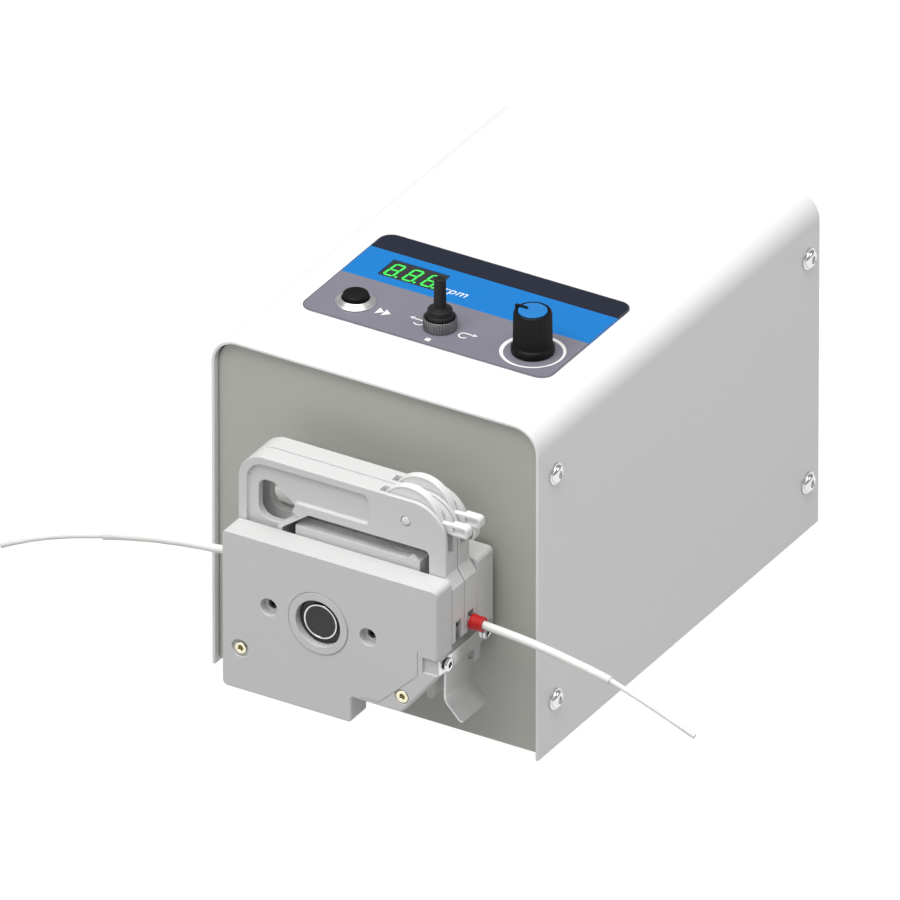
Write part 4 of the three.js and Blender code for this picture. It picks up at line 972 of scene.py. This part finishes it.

# ---- pressure levers ------------------------------------------------------------------------
# An eccentric wheel turning on a pin in each arm's slot, moulded in one with a thumb tab: a bar
# grooved on both faces. Only the rear lever has a curled tail under its tab.
lever_white = finish("lever_white", (0.78, 0.78, 0.775), 0.36, mottling=0.02, spread=0.05, grains=1700.0, depth=0.008)
WHEEL = (28.75, 98.1)
for end, y in CARTRIDGES.items():
    low = y + 1.75
    high = low + 3.1
    rim = [(0.5, 0.2), (11.4, 0.2), (11.6, 0.0), (12.0, 0.0), (12.2, 0.2), (12.2, 2.9), (12.0, 3.1), (11.6, 3.1), (11.4, 2.9),
           (0.5, 2.9)]
    wheel = carved(laid(turned(rim, 128), "-y", (WHEEL[0], high, WHEEL[1])), block((0, 24), (y, y + 8), (80, 95)),
                   block((20, 50), (y, y + 8), (80, 87.8)))
    tab_outline = rounded([(44.7, 95.7), (51.3, 95.7, 0.9), (51.3, 99.8, 1.4), (44.7, 99.8)], 6)
    tab = plate(tab_outline, low + 0.85, low + 4.4, 0.25)
    grooves = [block((44.0, 50.2), (low + g, low + g + 1.9), (96.6, 98.9)) for g in (-0.15, 3.5)]
    tail_angle = np.radians(np.linspace(70, -40, 14))
    tail_route = np.column_stack([46.0 + 3.1 * np.cos(tail_angle), 93.3 + 3.3 * np.sin(tail_angle)])
    tail = plate(stroke(tail_route, 0.9), low + 1.0, low + 4.2, 0.15)
    arm = plate(np.array([(37, 96.0), (45.5, 96.0), (45.5, 99.5), (37, 99.5)]), low + 0.9, high, 0.1)
    pin = laid(turned([(0.3, -6.4), (1.75, -6.4), (1.75, -0.25), (1.6, 0.0), (1.2, 0.16), (0.3, 0.22)], 40), "-y", (PIN[0], y, PIN[1]))
    parts = [wheel, carved(tab, *grooves), arm, pin] + [tail] * (end == "rear")
    piece(f"lever_wheel_{end}", joined(*parts), lever_white, f"lever_{end}", [f"pressure_lever_{end}"],
          sharp=30)

# ---- tube stops and the tube in the head ----------------------------------------------------
# A red moulded sleeve grips the tubing at each side of the rear cartridge. Between them the tube
# comes in level, bends up onto the curved track and is pressed flat along it by the rollers.
TUBE_MID = TUBE_Y / MM - DATUM[1]
STOPS = {"left": ((-43.2, -38.4), 57.5), "right": ((47.5, 52.3), 57.9)}
TRACK = 18.4
SQUEEZED = 0.85
WRAP = math.pi / 3  # the track's half angle

red_plastic = finish("red_plastic", (0.58, 0.004, 0.003), 0.42, mottling=0.04, grains=1800.0, depth=0.008)
for side_name, ((x0, x1), z) in STOPS.items():
    inward, outward_end = (x1, x0) if side_name == "left" else (x0, x1)
    long = abs(x1 - x0)
    rows = [(1.65, 0), (2.75, 0), (2.95, 0.25), (2.95, 0.9), (2.72, 1.7), (2.62, long - 1.5), (2.7, long - 0.6),
            (2.62, long - 0.15), (2.4, long), (1.75, long), (1.65, long - 0.15)]
    axis = "-x" if side_name == "left" else "x"
    piece(f"red_stop_{side_name}", laid(turned(rows, 48, True), axis, (inward, TUBE_MID, z)), red_plastic,
          "cartridge_rear", [f"tube_stop_{side_name}"])

lap = TRACK - 0.3 - SQUEEZED
end_x, end_z = lap * math.sin(WRAP), AXIS + lap * math.cos(WRAP)


def lead_in(side, level, outer):
    """From the stop to the track: level to X 35, then an arc whose end is tangent to the track,
    of radius (rise) / (1 - cos of the track's half angle)."""
    radius = (end_z - level) / (1 - math.cos(WRAP))
    centre = end_x + radius * math.sin(WRAP)
    angle = np.linspace(0, WRAP, 9)[:-1]
    arc = np.column_stack([side * (centre - radius * np.sin(angle)), level + radius * (1 - np.cos(angle))])
    return np.vstack([[(outer, level), (side * 41, level), (side * 37, level)], arc])


angle = np.linspace(-WRAP, WRAP, 33)
over = np.column_stack([lap * np.sin(angle), AXIS + lap * np.cos(angle)])
head_route = np.vstack([lead_in(-1, 57.5, -43.0), over, lead_in(1, 57.9, 52.1)[::-1]])
head_route = smooth_route(head_route, 3)
squeeze = np.clip((26.0 - np.abs(head_route[:, 0])) / 9.0, 0, 1)
squeeze = squeeze * squeeze * (3 - 2 * squeeze)
thick = 1.5 - (1.5 - SQUEEZED) * squeeze
rings = tube_rings(head_route, thick, 1.5)
rings[..., 1] += TUBE_MID - TUBE_Y / MM
piece("tube_on_track", lofted(rings), silicone, "cartridge_rear", ["tube_in_head"])

# ---- latch ----------------------------------------------------------------------------------
# A tongue of spring steel is held between the plates by a bright steel strap and two small
# screws. Its flared end is the thumb pad, and a grey hook stands beside it.
STRAP_Y = (-36.5, -2.0)
STRAP_Z = (46.8, 52.6)
STRAP_SCREWS = (-32.0, -6.5)
BLADE = 0.8

brushed = finish("spring_steel", (0.60, 0.60, 0.60), 0.40, 1.0, mottling=0.04, spread=0.06, grains=1200.0, depth=0.0006)
bright = finish("bright_steel", (0.72, 0.72, 0.72), 0.18, 1.0, mottling=0.03, spread=0.06, grains=1500.0, depth=0.002)


def bent_strip(route, low, high, thick):
    """A strip of sheet bent along a route in XZ. Each ring is a rounded rectangle across the
    route's normal, and reaches from low to high in Y."""
    along = np.gradient(route, axis=0)
    along /= np.linalg.norm(along, axis=1)[:, None]
    half, r = thick / 2, thick * 0.3
    section = rounded([(-half, -1, r), (half, -1, r), (half, 1, r), (-half, 1, r)], 3)
    low, high = np.broadcast_to(low, len(route)), np.broadcast_to(high, len(route))
    spare = (high - low)[:, None] / 2 - 1
    y = (low + high)[:, None] / 2 + section[:, 1] + np.sign(section[:, 1]) * spare
    x = route[:, :1] - section[:, 0] * along[:, 1:]
    z = route[:, 1:] + section[:, 0] * along[:, :1]
    return lofted(np.stack([x, y, z], -1))


def evenly(route, steps, tip):
    """A route walked in equal steps, and in shorter ones over the last few millimetres."""
    gone = np.concatenate([[0], np.cumsum(np.linalg.norm(np.diff(route, axis=0), axis=1))])
    total = gone[-1]
    fine = total - tip + tip * np.sin(np.linspace(0, math.pi / 2, 9))[1:]
    at = np.concatenate([np.linspace(0, total - tip, steps), fine])
    return np.column_stack([np.interp(at, gone, route[:, k]) for k in (0, 1)]), total - at


blade_route, left_over = evenly(rounded([(43.3, 56.4), (43.3, 31.0, 5.0), (50.1, 23.9)], 12), 50, 2.4)
shoulder = np.clip((blade_route[:, 1] - 39.0) / 0.8, 0, 1)
round_low = 1.4 - np.sqrt(1.96 - np.clip(1.4 - left_over, 0, 1.4) ** 2)
round_high = 2.4 - np.sqrt(5.76 - np.clip(2.4 - left_over, 0, 2.4) ** 2)
blade = bent_strip(blade_route, -26.3 + round_low, -8.2 - round_high - 3.0 * shoulder, BLADE)
piece("latch_blade", blade, brushed, "release_lever", ["release_lever"], sharp=50)

strap_y = np.linspace(*STRAP_Y, 60)
strap_x = 47.6 - np.clip(-29.8 - strap_y, 0, 10) * 0.1
strap_points, strap_faces = bent_strip(np.column_stack([strap_x, strap_y]), *STRAP_Z, 0.6)
piece("latch_plate", outward(strap_points[:, [0, 2, 1]], strap_faces), bright, nodes=["latch_strap"],
      sharp=50)
strap_screw = [(0.3, -3.8), (1.05, -3.8), (1.05, 0.1), (2.35, 0.1), (2.5, 0.25), (2.5, 0.95), (2.35, 1.15), (2.0, 1.22),
               (1.5, 1.22)]
strap_head = carved(turned(strap_screw, 40), turned([(1.3, 0.35), (1.3, 1.1), (1.45, 1.3), (1.45, 2)], 6))
for y, end in zip(STRAP_SCREWS, ("front", "rear")):
    piece(f"strap_fixing_{end}", laid(strap_head, "x", (47.9, y, 49.7)), chrome,
          nodes=[f"strap_screw_{end}"], sharp=35)
    # A black disc in each screw's hex socket is painted shade: it darkens the socket where its own shadow falls.
    dark = turned([(0.2, 0.3), (1.25, 0.3), (1.25, 0.4), (0.2, 0.4)], 6)
    piece(f"strap_socket_shade_{end}", laid(dark, "x", (47.9, y, 49.7)), black_oxide_and_painted_shade)

hook = rounded([(34.2, 27.6, 0.6), (36.4, 27.6, 1.0), (38.7, 36, 1), (38.7, 43, 1), (33.2, 43, 1), (33.2, 33, 1)], 5)
hook = carved(plate(hook, -22.5, -15.5, 0.3), opening(circle(*ROD_RIGHT, 3.45), -22.5, -15.5, 0.2))
piece("rod_hook", hook, cartridge_grey, sharp=30)
